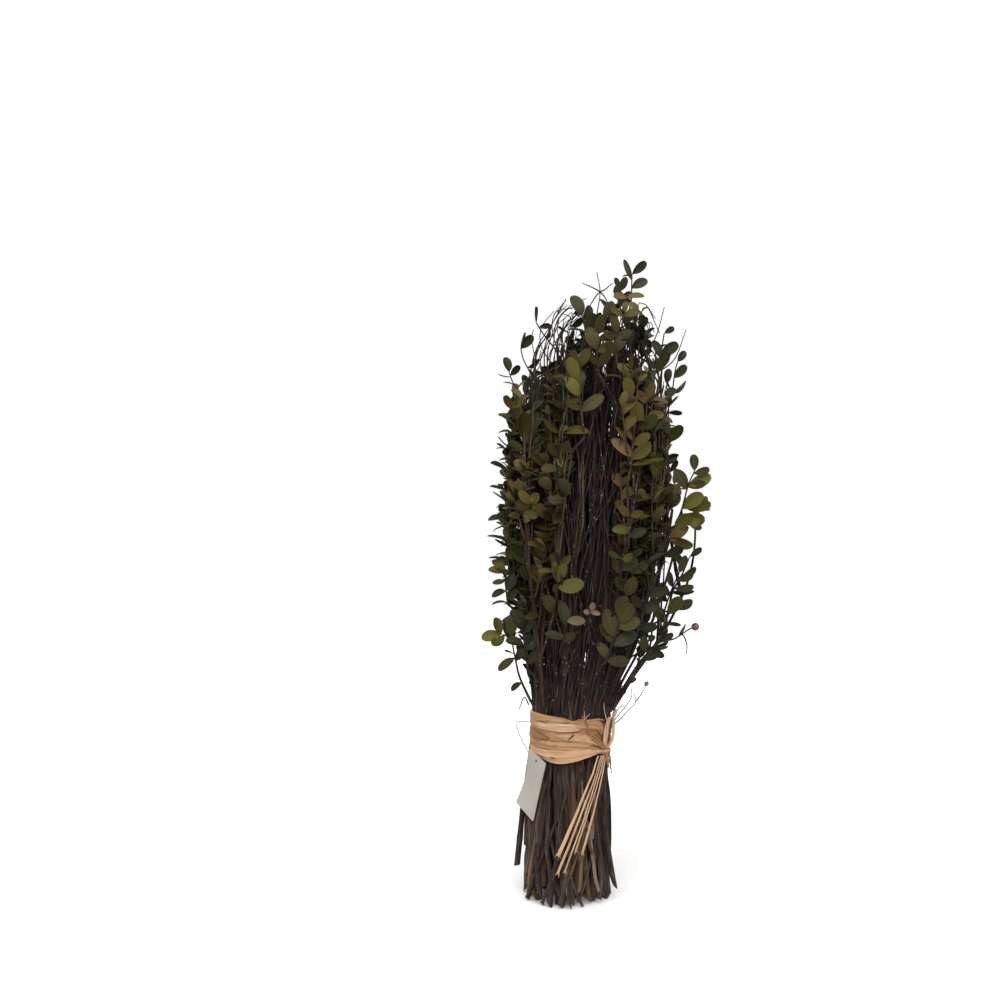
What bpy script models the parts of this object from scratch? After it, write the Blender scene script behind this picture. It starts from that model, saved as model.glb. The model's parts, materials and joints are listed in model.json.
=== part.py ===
"""Bundle of preserved boxwood, standing on its cut ends and tied with raffia.

Forty-five branches stand packed in rings: fourteen leafy boxwood branches in the outer ring, and bare
branches between and inside them. They narrow to a waist, where a raffia band with a knot holds them,
and spread above it. A blank card tag hangs from the band on a thin loop.

Metres, +Z up. The origin is the middle of the central branch's cut end, on the surface that the bundle
stands on. -Y is the front and +X is to the right of somebody who looks at the front. An azimuth is the
angle round the bundle in degrees, 0 at the front and 90 at the right.
"""

import math
import random

import bpy
from mathutils import Vector
from mathutils.bvhtree import BVHTree

SEED = 7

# The bundle as a whole. Every branch bends at these heights and is straight between them, and the bundle's
# radius and how far its middle lies to the right are given at them.
LEVELS = (0.0, 0.050, 0.105, 0.145, 0.205, 0.285, 0.385, 0.500)
GIRTH = (0.0355, 0.0345, 0.0305, 0.0310, 0.0430, 0.0520, 0.0525, 0.0300)
LEAN = (0.0, 0.0, 0.0020, 0.0040, 0.0125, 0.0180, 0.0230, 0.0400)
BAND_Z = 0.125

# Rings of branches: how many, the share of the bundle's radius that they stand at, and the turn in
# degrees between the foot and the waist
OUTER_RING = (22, 0.885, 3.0)
MIDDLE_RING = (14, 0.620, -5.0)
INNER_RING = (8, 0.355, 6.0)
CENTRE = (1, 0.0, 0.0)
OUTER_STEP = 360.0 / OUTER_RING[0]

SIDES = 5
FOOT_RADIUS = (0.0032, 0.0038)  # of one branch, at its cut end
WAIST_SHARE = 0.76  # what is left of that at the band
TIP_RADIUS = 0.0011
BARE_TOP = (0.405, 0.475)

# Boxwood leaves
LEAF_LENGTH = (0.019, 0.026)
LEAF_WIDTH_SHARE = 0.54
LEAF_THICKNESS = 0.0015
LEAF_SPACING = 0.0262
LEAF_CLEARANCE = 0.0004  # between a leaf and any other piece
LEAF_OPENINGS = (58.0, 46.0, 34.0, 24.0)  # angle from the twig, widest first

# Each leafy branch: place in the outer ring, azimuth at the top, how far it stands out past the ring in
# the leafy part, height of its tip, height of its lowest leaves
LEAFY = (
    (-5, -86.0, 0.016, 0.425, 0.175),
    (-3, -54.0, 0.016, 0.440, 0.195),
    (-1, -26.0, 0.016, 0.460, 0.225),
    (1, 24.0, 0.014, 0.480, 0.225),
    (3, 47.0, 0.022, 0.440, 0.190),
    (4, 66.0, 0.026, 0.415, 0.200),
    (5, 86.0, 0.046, 0.345, 0.172),
    (7, 112.0, 0.026, 0.425, 0.185),
    (8, 134.0, 0.020, 0.440, 0.205),
    (10, 160.0, 0.024, 0.415, 0.185),
    (-11, -175.0, 0.018, 0.455, 0.210),
    (-9, -152.0, 0.022, 0.430, 0.185),
    (-8, -129.0, 0.017, 0.445, 0.215),
    (-7, -107.0, 0.020, 0.410, 0.180),
)

# Branches of the outer ring whose cut end is off the floor: the height of that end, and how far the foot
# is splayed outwards
RAGGED = {-6: (0.033, 0.010), 6: (0.015, 0.008), -4: (0.007, 0.0), -3: (0.009, 0.001), 4: (0.006, 0.001),
          2: (0.004, 0.0), 9: (0.012, 0.003), -10: (0.007, 0.001)}

# Raffia band, knot and tails
BAND_HEIGHT = 0.031
BAND_THICKNESS = 0.0016
BAND_GAP = 0.0005  # between the band and the branches
BAND_SECTORS = 32
KNOT_AZIMUTH = 55.0
KNOT_Z = 0.121
KNOT_SIZE = (0.012, 0.007, 0.027)  # along the band, outwards and upwards
KNOT_SIDES = 10
KNOT_OUTLINE = ((0.0, 0.62), (0.16, 0.70), (0.30, 0.92), (0.42, 1.0), (0.58, 0.66), (0.78, 0.84), (1.0, 0.70))
TAIL_THICKNESS = 0.0008
TAIL_GAP = 0.0008  # between the tails and the branches behind them
TAIL_STEPS = 7
# Each tail: width, azimuths of its two ends, height of its free end
TAILS = (
    (0.0030, 46.0, -12.0, 0.040),
    (0.0020, 51.0, -12.5, 0.0265),
    (0.0013, 54.3, -5.0, 0.028),
    (0.0014, 57.3, 10.0, 0.043),
    (0.0018, 60.6, 18.0, 0.041),
)

# Card tag, and the filament that it hangs on
TAG_AZIMUTH = -60.0  # that its face looks towards
TAG_ROLL = 24.0  # degrees from upright in its own plane
TAG_SIZE = (0.026, 0.045, 0.0006)
TAG_HOLE_Z = 0.1085
TAG_HOLE_SIDE = 0.0072  # how far the hole is beside the azimuth that the tag faces
TAG_HOLE_FROM_TOP = 0.0045
TAG_HOLE_RADIUS = 0.0013
TAG_CORNER = 0.0012
TAG_STAND_OFF = 0.0352  # from the bundle's middle
LOOP_RADIUS = 0.0004
LOOP_SPACING = 0.0023  # between the points of its curve
# From the band's left side outwards, down behind the tag and out through its hole
LOOP_ROUTE = ((-0.0293, -0.0070, 0.1343), (-0.0325, -0.0078, 0.1348), (-0.0362, -0.0086, 0.1352),
              (-0.0393, -0.0092, 0.1350), (-0.0397, -0.0096, 0.1335), (-0.0387, -0.0101, 0.1298),
              (-0.0371, -0.0104, 0.1252), (-0.0350, -0.0106, 0.1206), (-0.0324, -0.0108, 0.1160),
              (-0.0306, -0.0112, 0.1125), (-0.0288, -0.0140, 0.1096), (-0.0264, -0.0178, 0.1081),
              (-0.0244, -0.0210, 0.1081), (-0.0236, -0.0231, 0.1084), (-0.0247, -0.0238, 0.1085),
              (-0.0260, -0.0246, 0.1086))


def clear_scene():
    for thing in list(bpy.data.objects):
        bpy.data.objects.remove(thing)


def material(name, colour, roughness):
    """A Principled material in one colour, made once."""
    made = bpy.data.materials.get(name)
    if made is None:
        made = bpy.data.materials.new(name)
        made.use_nodes = True
        shader = made.node_tree.nodes["Principled BSDF"]
        shader.inputs["Base Color"].default_value = (*colour, 1.0)
        shader.inputs["Roughness"].default_value = roughness
    return made


def bark():
    return material("bark", (0.075, 0.052, 0.040), 0.85)


def foliage():
    return material("boxwood_leaf", (0.060, 0.070, 0.022), 0.55)


def raffia():
    return material("raffia", (0.52, 0.35, 0.19), 0.70)


def card():
    return material("card", (0.62, 0.58, 0.54), 0.80)


def nylon():
    return material("nylon", (0.45, 0.45, 0.44), 0.35)


def ramp(value, start, end):
    """0 before start, 1 past end, and straight between them."""
    return min(1.0, max(0.0, (value - start) / (end - start)))


def at_height(values, z):
    """What a row of values, one for each of LEVELS, gives at a height."""
    for number, high in enumerate(LEVELS[1:]):
        if z <= high:
            share = ramp(z, LEVELS[number], high)
            return values[number] * (1.0 - share) + values[number + 1] * share
    return values[-1]


def around(azimuth, radius, z):
    """The point at an azimuth and a distance from the bundle's own leaning middle."""
    turn = math.radians(azimuth)
    return Vector((at_height(LEAN, z) + radius * math.sin(turn), -radius * math.cos(turn), z))


def outwards(azimuth):
    turn = math.radians(azimuth)
    return Vector((math.sin(turn), -math.cos(turn), 0.0))


def rightwards(azimuth):
    turn = math.radians(azimuth)
    return Vector((math.cos(turn), math.sin(turn), 0.0))


def mesh_object(name, shape, finish, smooth=True):
    mesh = bpy.data.meshes.new(name)
    points, faces = shape
    mesh.from_pydata([tuple(point) for point in points], [], faces)
    mesh.materials.append(finish)
    if smooth:
        mesh.shade_smooth()
        mesh.set_sharp_from_angle(angle=math.radians(50))
    made = bpy.data.objects.new(name, mesh)
    bpy.context.scene.collection.objects.link(made)
    return made


def skin(rings):
    """Points and faces of a closed solid from rings of as many points each, lowest first and seen from
    above anticlockwise."""
    count = len(rings[0])
    points = [point for ring in rings for point in ring]
    faces = [tuple(reversed(range(count)))]
    for low in range(0, len(points) - count, count):
        for side in range(count):
            beside = (side + 1) % count
            faces.append((low + side, low + beside, low + beside + count, low + side + count))
    faces.append(tuple(range(len(points) - count, len(points))))
    return points, faces


def tube(centres, radii):
    """A closed tube of level rings, so that its cut end is flat on the floor."""
    rings = []
    for centre, radius in zip(centres, radii):
        turns = [math.tau * side / SIDES for side in range(SIDES)]
        rings.append([centre + radius * Vector((math.cos(turn), math.sin(turn), 0.0)) for turn in turns])
    return skin(rings)


def branch_radius(z, foot, top):
    """A branch thins to the band, and from there to its tip."""
    if z < BAND_Z:
        return foot * (1.0 - (1.0 - WAIST_SHARE) * z / BAND_Z)
    share = ramp(z, BAND_Z, top)
    return foot * WAIST_SHARE * (1.0 - share) + TIP_RADIUS * share


def cut_end(ring, place):
    """The height of a branch's cut end and the splay of its foot."""
    return RAGGED.get(place, (0.0, 0.0)) if ring is OUTER_RING else (0.0, 0.0)


def ring_point(ring, place, z, drift=0.0, stand_out=0.0):
    """The middle of the branch in a place of a ring, at a height."""
    count, share, turn = ring
    splay = cut_end(ring, place)[1]
    turned = 360.0 * place / count + drift + turn * (1.0 - ramp(z, 0.0, LEVELS[2]))
    radius = at_height(GIRTH, z) * share + stand_out + splay * (1.0 - ramp(z, 0.0, LEVELS[2]))
    return around(turned, radius, z)


def levels_between(bottom, top):
    """The levels of a branch from its cut end to its tip."""
    return [bottom] + [z for z in LEVELS if bottom + 0.008 < z < top - 0.020] + [top]


def bare_branch(ring, place, rng):
    foot = rng.uniform(*FOOT_RADIUS)
    top = rng.uniform(*BARE_TOP)
    twist = rng.uniform(-0.6, 0.6)
    bow = rng.uniform(-2.0, 2.0)
    levels = levels_between(cut_end(ring, place)[0], top)
    centres = []
    for z in levels:
        drift = twist + bow * ramp(z, LEVELS[3], top) * math.sin(20.0 * z)
        centres.append(ring_point(ring, place, z, drift))
    return tube(centres, [branch_radius(z, foot, top) for z in levels])


def leafy_point(spec, z):
    """The middle of a leafy branch. Above the band it stands out of its ring, and its tip leans back."""
    place, top_azimuth, stand_out, top, _ = spec
    drift = (top_azimuth - place * OUTER_STEP + 180.0) % 360.0 - 180.0
    drift *= ramp(z, LEVELS[3], LEVELS[5])
    stand_out *= ramp(z, LEVELS[3], LEVELS[5]) ** 0.7 * (1.0 - 0.55 * ramp(z, top - 0.100, top))
    return ring_point(OUTER_RING, place, z, drift, stand_out)


def leafy_centres(spec):
    levels = levels_between(cut_end(OUTER_RING, spec[0])[0], spec[3])
    return [leafy_point(spec, z) for z in levels]


def leafy_stem(spec):
    foot = sum(FOOT_RADIUS) / 2
    centres = leafy_centres(spec)
    return tube(centres, [branch_radius(centre.z, foot, spec[3]) for centre in centres])


def leaf_blade(base, along, face, length, grow=0.0):
    """A closed leaf from base: widest past its middle, with a blunt tip and a raised midrib."""
    across = along.cross(face).normalized()
    half = length * LEAF_WIDTH_SHARE / 2 + grow
    thick = LEAF_THICKNESS / 2 + grow
    reach = length + grow
    rim = ((0.0, 0.0), (0.52, half), (1.0, half * 0.42), (1.0, -half * 0.42), (0.52, -half))
    points = [base + along * (reach * share) + across * side for share, side in rim]
    middle = base + along * (length * 0.55)
    points += [middle + face * thick, middle - face * thick]
    count = len(rim)
    faces = [((side + 1) % count, side, count) for side in range(count)]
    faces += [(side, (side + 1) % count, count + 1) for side in range(count)]
    return points, faces


def is_clear(blade, neighbours):
    tree = BVHTree.FromPolygons(*blade)
    return not any(tree.overlap(neighbour) for neighbour in neighbours)


def leaf_nodes(spec):
    """Where a branch bears its pairs of leaves: on the middle of its stem, with the stem's direction."""
    centres = leafy_centres(spec)
    first_leaf, top = spec[4], spec[3]
    count = round((top - first_leaf) / LEAF_SPACING)
    nodes = []
    for step in range(count + 1):
        z = first_leaf + (top - first_leaf) * step / count
        for low, high in zip(centres, centres[1:]):
            if z <= high.z + 1e-6:
                nodes.append((low.lerp(high, (z - low.z) / (high.z - low.z)), (high - low).normalized()))
                break
    return nodes


def branch_leaves(spec, others, rng):
    """Blades in crossed pairs up a branch, each opened as wide as the pieces round it allow."""
    blades = []
    for number, (base, twig) in enumerate(leaf_nodes(spec)):
        out = base - around(0.0, 0.0, base.z)
        out = (out - twig * out.dot(twig)).normalized()
        side = twig.cross(out).normalized()
        for way in (side, -side) if number % 2 == 0 else (out,):
            length = rng.uniform(*LEAF_LENGTH)
            lifted = way.lerp(out, rng.uniform(0.05, 0.35)).normalized()
            for opening in LEAF_OPENINGS:
                angle = math.radians(opening)
                along = (twig * math.cos(angle) + lifted * math.sin(angle)).normalized()
                face = (twig * math.sin(angle) - lifted * math.cos(angle)).lerp(out, 0.3)
                face = (face - along * face.dot(along)).normalized()
                start = base - along * 0.0006
                if is_clear(leaf_blade(start, along, face, length, LEAF_CLEARANCE), others):
                    blades.append(leaf_blade(start, along, face, length))
                    break
    return blades


def joined(shapes):
    """Several shapes as one list of points and one of faces."""
    points, faces = [], []
    for shape_points, shape_faces in shapes:
        faces += [tuple(len(points) + index for index in face) for face in shape_faces]
        points += shape_points
    return points, faces


def add_leafy_branch(name, spec, blades):
    """A boxwood branch with its leaves fused to it."""
    branch = mesh_object(name, leafy_stem(spec), foliage())
    helper = mesh_object(name + "_leaves", joined(blades), foliage(), smooth=False)
    helper.hide_render = True
    helper.display_type = "WIRE"
    join = branch.modifiers.new("leaves", "BOOLEAN")
    join.operation = "UNION"
    join.solver = "EXACT"
    join.use_self = True
    join.object = helper


def add_band():
    """The raffia band: a closed sleeve that clears the branches, thinned towards its edges."""
    low, high = BAND_Z - BAND_HEIGHT / 2, BAND_Z + BAND_HEIGHT / 2
    outer = BAND_GAP + BAND_THICKNESS
    section = ((low, BAND_GAP), (low, outer - 0.0005), (BAND_Z, outer), (high, outer - 0.0005), (high, BAND_GAP))
    points = []
    for z, grow in section:
        radius = at_height(GIRTH, z) + grow
        points += [around(360.0 * sector / BAND_SECTORS, radius, z) for sector in range(BAND_SECTORS)]
    faces = []
    for step in range(len(section)):
        here = step * BAND_SECTORS
        beyond = (step + 1) % len(section) * BAND_SECTORS
        for sector in range(BAND_SECTORS):
            beside = (sector + 1) % BAND_SECTORS
            faces.append((here + sector, here + beside, beyond + beside, beyond + sector))
    mesh_object("raffia_band", (points, faces), raffia())


def add_knot():
    """The knot: gathered strips, flat on the side of the band and pinched above the middle."""
    length, depth, height = KNOT_SIZE
    out = outwards(KNOT_AZIMUTH)
    along = out.cross(Vector((0.0, 0.0, 1.0)))
    stand_off = at_height(GIRTH, BAND_Z) + BAND_GAP + BAND_THICKNESS + 0.0010 + depth / 2
    rings = []
    for level, share in KNOT_OUTLINE:
        middle = around(KNOT_AZIMUTH, stand_off, KNOT_Z + (level - 0.5) * height)
        ring = []
        for side in range(KNOT_SIDES):
            turn = math.tau * side / KNOT_SIDES
            rise = math.sin(turn) * depth / 2 * (share if math.sin(turn) > 0.0 else 0.9)
            ring.append(middle + along * (math.cos(turn) * share * length / 2) + out * rise)
        rings.append(ring)
    mesh_object("raffia_knot", skin(rings), raffia())


def add_tail(name, width, top_azimuth, end_azimuth, end_z):
    """A flat strip from under the knot, over the branches to its free end."""
    start_z = KNOT_Z - KNOT_SIZE[2] / 2 - 0.0004
    rings = []
    for step in range(TAIL_STEPS, -1, -1):
        share = step / TAIL_STEPS
        z = start_z + (end_z - start_z) * share
        azimuth = top_azimuth + (end_azimuth - top_azimuth) * share
        radius = at_height(GIRTH, z) + TAIL_GAP + 0.0045 * (1.0 - ramp(share, 0.0, 0.4)) ** 2
        half = width / 2 * (0.6 + 0.4 * ramp(share, 0.0, 0.35))
        middle = around(azimuth, radius, z)
        side = rightwards(azimuth) * half
        out = outwards(azimuth) * TAIL_THICKNESS
        rings.append([middle + side, middle - side, middle - side + out, middle + side + out])
    mesh_object(name, skin(rings), raffia())


def tag_axes():
    """Where the tag's hole is, with the tag's directions across, up and outwards."""
    out = outwards(TAG_AZIMUTH)
    flat = rightwards(TAG_AZIMUTH)
    hole = around(TAG_AZIMUTH, TAG_STAND_OFF, TAG_HOLE_Z) + flat * TAG_HOLE_SIDE
    roll = math.radians(TAG_ROLL)
    up = Vector((0.0, 0.0, 1.0)) * math.cos(roll) + flat * math.sin(roll)
    across = flat * math.cos(roll) - Vector((0.0, 0.0, 1.0)) * math.sin(roll)
    return hole, across, up, out


def add_tag():
    """A card with small round corners and a hole near its top edge."""
    hole, across, up, out = tag_axes()
    width, height, thickness = TAG_SIZE
    rim = []
    corners = ((1, 1, 0.0), (-1, 1, 90.0), (-1, -1, 180.0), (1, -1, 270.0))
    for way_across, way_up, start in corners:
        for step in range(4):
            turn = math.radians(start + 30.0 * step)
            sideways = way_across * (width / 2 - TAG_CORNER) + TAG_CORNER * math.cos(turn)
            upwards = way_up * (height / 2 - TAG_CORNER) + TAG_CORNER * math.sin(turn)
            rim.append(across * sideways + up * (upwards - height / 2 + TAG_HOLE_FROM_TOP))
    edge = []
    for point in rim:
        turn = math.atan2(point.dot(up), point.dot(across))
        edge.append((across * math.cos(turn) + up * math.sin(turn)) * TAG_HOLE_RADIUS)
    front, back = out * (thickness / 2), out * (-thickness / 2)
    count = len(rim)
    points = [hole + front + point for point in rim] + [hole + front + point for point in edge]
    points += [hole + back + point for point in edge] + [hole + back + point for point in rim]
    faces = []
    for loop in range(4):
        here, beyond = loop * count, (loop + 1) % 4 * count
        for side in range(count):
            beside = (side + 1) % count
            faces.append((here + side, here + beside, beyond + beside, beyond + side))
    mesh_object("price_tag", (points, faces), card(), smooth=False)


def smooth_route(route):
    """Points spaced evenly along a smooth curve through the points of a route."""
    knots = [Vector(point) for point in route]
    knots = [knots[0] * 2.0 - knots[1]] + knots + [knots[-1] * 2.0 - knots[-2]]
    fine = []
    for before, start, end, after in zip(knots, knots[1:], knots[2:], knots[3:]):
        for step in range(20):
            t = step / 20
            fine.append(0.5 * (2.0 * start + (end - before) * t
                               + (2.0 * before - 5.0 * start + 4.0 * end - after) * t ** 2
                               + (3.0 * start - before - 3.0 * end + after) * t ** 3))
    fine.append(knots[-2])
    points, walked = [fine[0]], 0.0
    for start, end in zip(fine, fine[1:]):
        walked += (end - start).length
        if walked >= LOOP_SPACING:
            points.append(end)
            walked = 0.0
    return points


def add_tag_loop():
    """The filament, as a round curve that goes through the tag's hole."""
    curve = bpy.data.curves.new("tag_loop", "CURVE")
    curve.dimensions = "3D"
    curve.bevel_depth = LOOP_RADIUS
    curve.bevel_resolution = 2
    curve.use_fill_caps = True
    points = smooth_route(LOOP_ROUTE)
    spline = curve.splines.new("POLY")
    spline.points.add(len(points) - 1)
    for target, point in zip(spline.points, points):
        target.co = (*point, 1.0)
    curve.materials.append(nylon())
    made = bpy.data.objects.new("tag_loop", curve)
    bpy.context.scene.collection.objects.link(made)


def main():
    clear_scene()
    rng = random.Random(SEED)
    leafy_places = {spec[0] % OUTER_RING[0] for spec in LEAFY}
    bare = []
    for ring in (OUTER_RING, MIDDLE_RING, INNER_RING, CENTRE):
        for place in range(ring[0]):
            if ring is not OUTER_RING or place not in leafy_places:
                signed = place - ring[0] if 2 * place >= ring[0] and ring is OUTER_RING else place
                bare.append(bare_branch(ring, signed, rng))
    for number, shape in enumerate(bare, 1):
        mesh_object(f"bare_branch_{number:02d}", shape, bark())
    bare_trees = [BVHTree.FromPolygons(*shape) for shape in bare]
    stem_trees = [BVHTree.FromPolygons(*leafy_stem(spec)) for spec in LEAFY]
    leaf_trees = []
    for number, spec in enumerate(LEAFY, 1):
        others = bare_trees + stem_trees[: number - 1] + stem_trees[number:] + leaf_trees
        blades = branch_leaves(spec, others, rng)
        leaf_trees += [BVHTree.FromPolygons(*blade) for blade in blades]
        add_leafy_branch(f"boxwood_branch_{number:02d}", spec, blades)
    add_band()
    add_knot()
    for number, tail in enumerate(TAILS, 1):
        add_tail(f"raffia_tail_{number}", *tail)
    add_tag()
    add_tag_loop()


main()
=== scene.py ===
"""Bundle of preserved boxwood: the looks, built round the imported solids.

Every branch of the solids is replaced by a grown one. Bare branches cross each other below the band and
fork above it into fine twigs, and leafy branches bear shoots with crossed pairs of modelled leaves. The
band, the knot and its tails are folded strips of raffia, and the tag is a blank card on a filament.

Metres, +Z up, -Y the front. An azimuth is the angle round the bundle in degrees, 0 at the front and 90 at
the right, as in the solids. Every point of a piece carries two vectors for its material: tint is (place
on the material's colour ramp, brightness, seed) and grain is (across, along, underside). The tables that
metres(), strips() and sprig() read give lengths in tenths of a millimetre and shares in hundredths.
"""

import functools
import json
import math
import random

import bpy
import numpy as np
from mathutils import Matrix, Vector

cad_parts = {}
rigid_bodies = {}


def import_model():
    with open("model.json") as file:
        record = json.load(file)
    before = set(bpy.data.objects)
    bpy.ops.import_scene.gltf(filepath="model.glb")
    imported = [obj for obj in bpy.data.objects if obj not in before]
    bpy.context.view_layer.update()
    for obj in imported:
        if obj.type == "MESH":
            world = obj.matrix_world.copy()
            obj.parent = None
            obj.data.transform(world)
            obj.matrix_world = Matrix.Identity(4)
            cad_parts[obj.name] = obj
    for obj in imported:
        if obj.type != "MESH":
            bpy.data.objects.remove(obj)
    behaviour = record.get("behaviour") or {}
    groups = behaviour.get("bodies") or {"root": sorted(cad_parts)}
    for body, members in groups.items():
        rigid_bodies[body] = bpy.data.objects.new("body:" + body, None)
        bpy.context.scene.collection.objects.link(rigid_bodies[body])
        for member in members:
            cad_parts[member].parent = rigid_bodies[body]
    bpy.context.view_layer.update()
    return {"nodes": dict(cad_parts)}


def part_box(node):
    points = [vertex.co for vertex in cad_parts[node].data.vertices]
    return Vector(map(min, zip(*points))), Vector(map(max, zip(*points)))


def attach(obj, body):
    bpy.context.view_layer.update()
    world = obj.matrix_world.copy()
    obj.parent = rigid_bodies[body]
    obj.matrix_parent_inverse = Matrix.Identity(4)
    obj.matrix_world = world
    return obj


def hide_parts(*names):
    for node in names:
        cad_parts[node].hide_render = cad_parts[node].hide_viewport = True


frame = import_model()

SEED = 20
UP = np.array((0.0, 0.0, 1.0))
LEVEL = np.array((1.0, 1.0, 0.0))

# The solids' own driving dimensions, repeated because the looks follow the same courses
LEVELS = (0.0, 0.050, 0.105, 0.145, 0.205, 0.285, 0.385, 0.500)
GIRTH = (0.0355, 0.0345, 0.0305, 0.0310, 0.0430, 0.0520, 0.0525, 0.0300)
LEAN = (0.0, 0.0, 0.0020, 0.0040, 0.0125, 0.0180, 0.0230, 0.0400)
OUTER_PLACES = 22
OUTER_SHARE = 0.885
OUTER_TURN = 3.0
FOOT_RADIUS = 0.0035

# Each leafy branch: place in the outer ring, azimuth at the top, how far it stands out, height of its
# tip, height of its lowest leaves
LEAFY = (
    (-5, -86.0, 0.016, 0.425, 0.175),
    (-3, -54.0, 0.016, 0.440, 0.195),
    (-1, -26.0, 0.016, 0.460, 0.225),
    (1, 24.0, 0.014, 0.480, 0.225),
    (3, 47.0, 0.022, 0.440, 0.190),
    (4, 66.0, 0.026, 0.415, 0.200),
    (5, 86.0, 0.046, 0.345, 0.172),
    (7, 112.0, 0.026, 0.425, 0.185),
    (8, 134.0, 0.020, 0.440, 0.205),
    (10, 160.0, 0.024, 0.415, 0.185),
    (-11, -175.0, 0.018, 0.455, 0.210),
    (-9, -152.0, 0.022, 0.430, 0.185),
    (-8, -129.0, 0.017, 0.445, 0.215),
    (-7, -107.0, 0.020, 0.410, 0.180),
)
KNOT_AZIMUTH = 55.0
KNOT_Z = 0.121
# Each tail: width, azimuth under the knot, azimuth and height of its free end
TAILS = (
    (0.0030, 46.0, -12.0, 0.0400),
    (0.0020, 51.0, -12.5, 0.0265),
    (0.0013, 54.3, -5.0, 0.0280),
    (0.0014, 57.3, 10.0, 0.0430),
    (0.0018, 60.6, 18.0, 0.0410),
)
TAIL_TOP = 0.1071
TAG_AZIMUTH = -60.0
TAG_ROLL = 24.0
TAG_SIZE = (0.026, 0.045)
TAG_HOLE_Z = 0.1085
TAG_HOLE_SIDE = 0.0072
TAG_HOLE_FROM_TOP = 0.0045
TAG_HOLE_RADIUS = 0.0013
TAG_CORNER = 0.0012
TAG_STAND_OFF = 0.0352
LOOP_RADIUS = 0.0004
LOOP_ROUTE = (
    (-0.0293, -0.0070, 0.1343), (-0.0325, -0.0078, 0.1348), (-0.0362, -0.0086, 0.1352),
    (-0.0393, -0.0092, 0.1350), (-0.0397, -0.0096, 0.1335), (-0.0387, -0.0101, 0.1298),
    (-0.0371, -0.0104, 0.1252), (-0.0350, -0.0106, 0.1206), (-0.0324, -0.0108, 0.1160),
    (-0.0306, -0.0112, 0.1125), (-0.0288, -0.0140, 0.1096), (-0.0264, -0.0178, 0.1081),
    (-0.0244, -0.0210, 0.1081), (-0.0236, -0.0231, 0.1084), (-0.0247, -0.0238, 0.1085),
    (-0.0260, -0.0246, 0.1086),
)


def metres(value):
    """A table's lengths, however nested, from tenths of a millimetre."""
    return tuple(metres(part) for part in value) if isinstance(value, tuple) else value / 10000.0


# ---------------------------------------------------------------- camera, light and floor

CAMERA_PLACE = (-0.052, -0.95, 0.32)
CAMERA_TILT = -0.8
CAMERA_LENS = 44.0
CAMERA_SENSOR = 36.0
# The broad light in front and a weaker one behind: strength, spread in degrees, and where each comes from
LIGHTS = (
    ("key", 4.4, 65.0, (-0.10, -0.80, 0.90)),
    ("back_light", 1.8, 130.0, (0.30, 0.90, 0.70)),
)
LIGHT_COLOUR = (1.0, 0.98, 0.95)
FLOOR_RADIUS = 2.4
FLOOR_SIDES = 96
FLOOR_COLOUR = (0.56, 0.56, 0.56, 1.0)
# The shares of its radius between which the floor fades out
FLOOR_FADE = (0.45, 0.95)


def link(name, data):
    made = bpy.data.objects.new(name, data)
    bpy.context.scene.collection.objects.link(made)
    return made


def add_camera():
    data = bpy.data.cameras.new("camera")
    data.lens = CAMERA_LENS
    data.sensor_width = CAMERA_SENSOR
    camera = link("camera", data)
    camera.location = CAMERA_PLACE
    camera.rotation_euler = (math.radians(90.0 + CAMERA_TILT), 0.0, 0.0)
    bpy.context.scene.camera = camera


def add_stage():
    """A white studio: two broad lights, and a floor that fades into the backdrop."""
    world = bpy.data.worlds.new("studio")
    world.use_nodes = True
    background = world.node_tree.nodes["Background"]
    background.inputs["Color"].default_value = (1.0, 1.0, 1.0, 1.0)
    background.inputs["Strength"].default_value = 1.0
    bpy.context.scene.world = world
    bpy.context.scene.view_settings.view_transform = "Standard"

    for name, strength, spread, place in LIGHTS:
        data = bpy.data.lights.new(name, "SUN")
        data.energy = strength
        data.angle = math.radians(spread)
        data.color = LIGHT_COLOUR
        light = link(name, data)
        light.rotation_euler = Vector(place).to_track_quat("Z", "Y").to_euler()

    mesh = bpy.data.meshes.new("floor")
    turns = [math.tau * step / FLOOR_SIDES for step in range(FLOOR_SIDES)]
    rim = [(FLOOR_RADIUS * math.cos(turn), FLOOR_RADIUS * math.sin(turn), 0.0) for turn in turns]
    mesh.from_pydata(rim, [], [tuple(range(FLOOR_SIDES))])
    n = Nodes("floor")
    n.set(Base_Color=FLOOR_COLOUR, Roughness=0.9, Specular_IOR_Level=0.1)
    away = n.length(n.add("ShaderNodeTexCoord").outputs["Object"])
    clear = n.add("ShaderNodeBsdfTransparent").outputs[0]
    fade = n.span(away, *(share * FLOOR_RADIUS for share in FLOOR_FADE))
    faded = n.add("ShaderNodeMixShader", {0: fade, 1: n.shader.outputs[0], 2: clear})
    n.links.new(faded.outputs[0], n.nodes["Material Output"].inputs["Surface"])
    mesh.materials.append(n.material)
    link("floor", mesh)


# ---------------------------------------------------------------- materials

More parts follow.
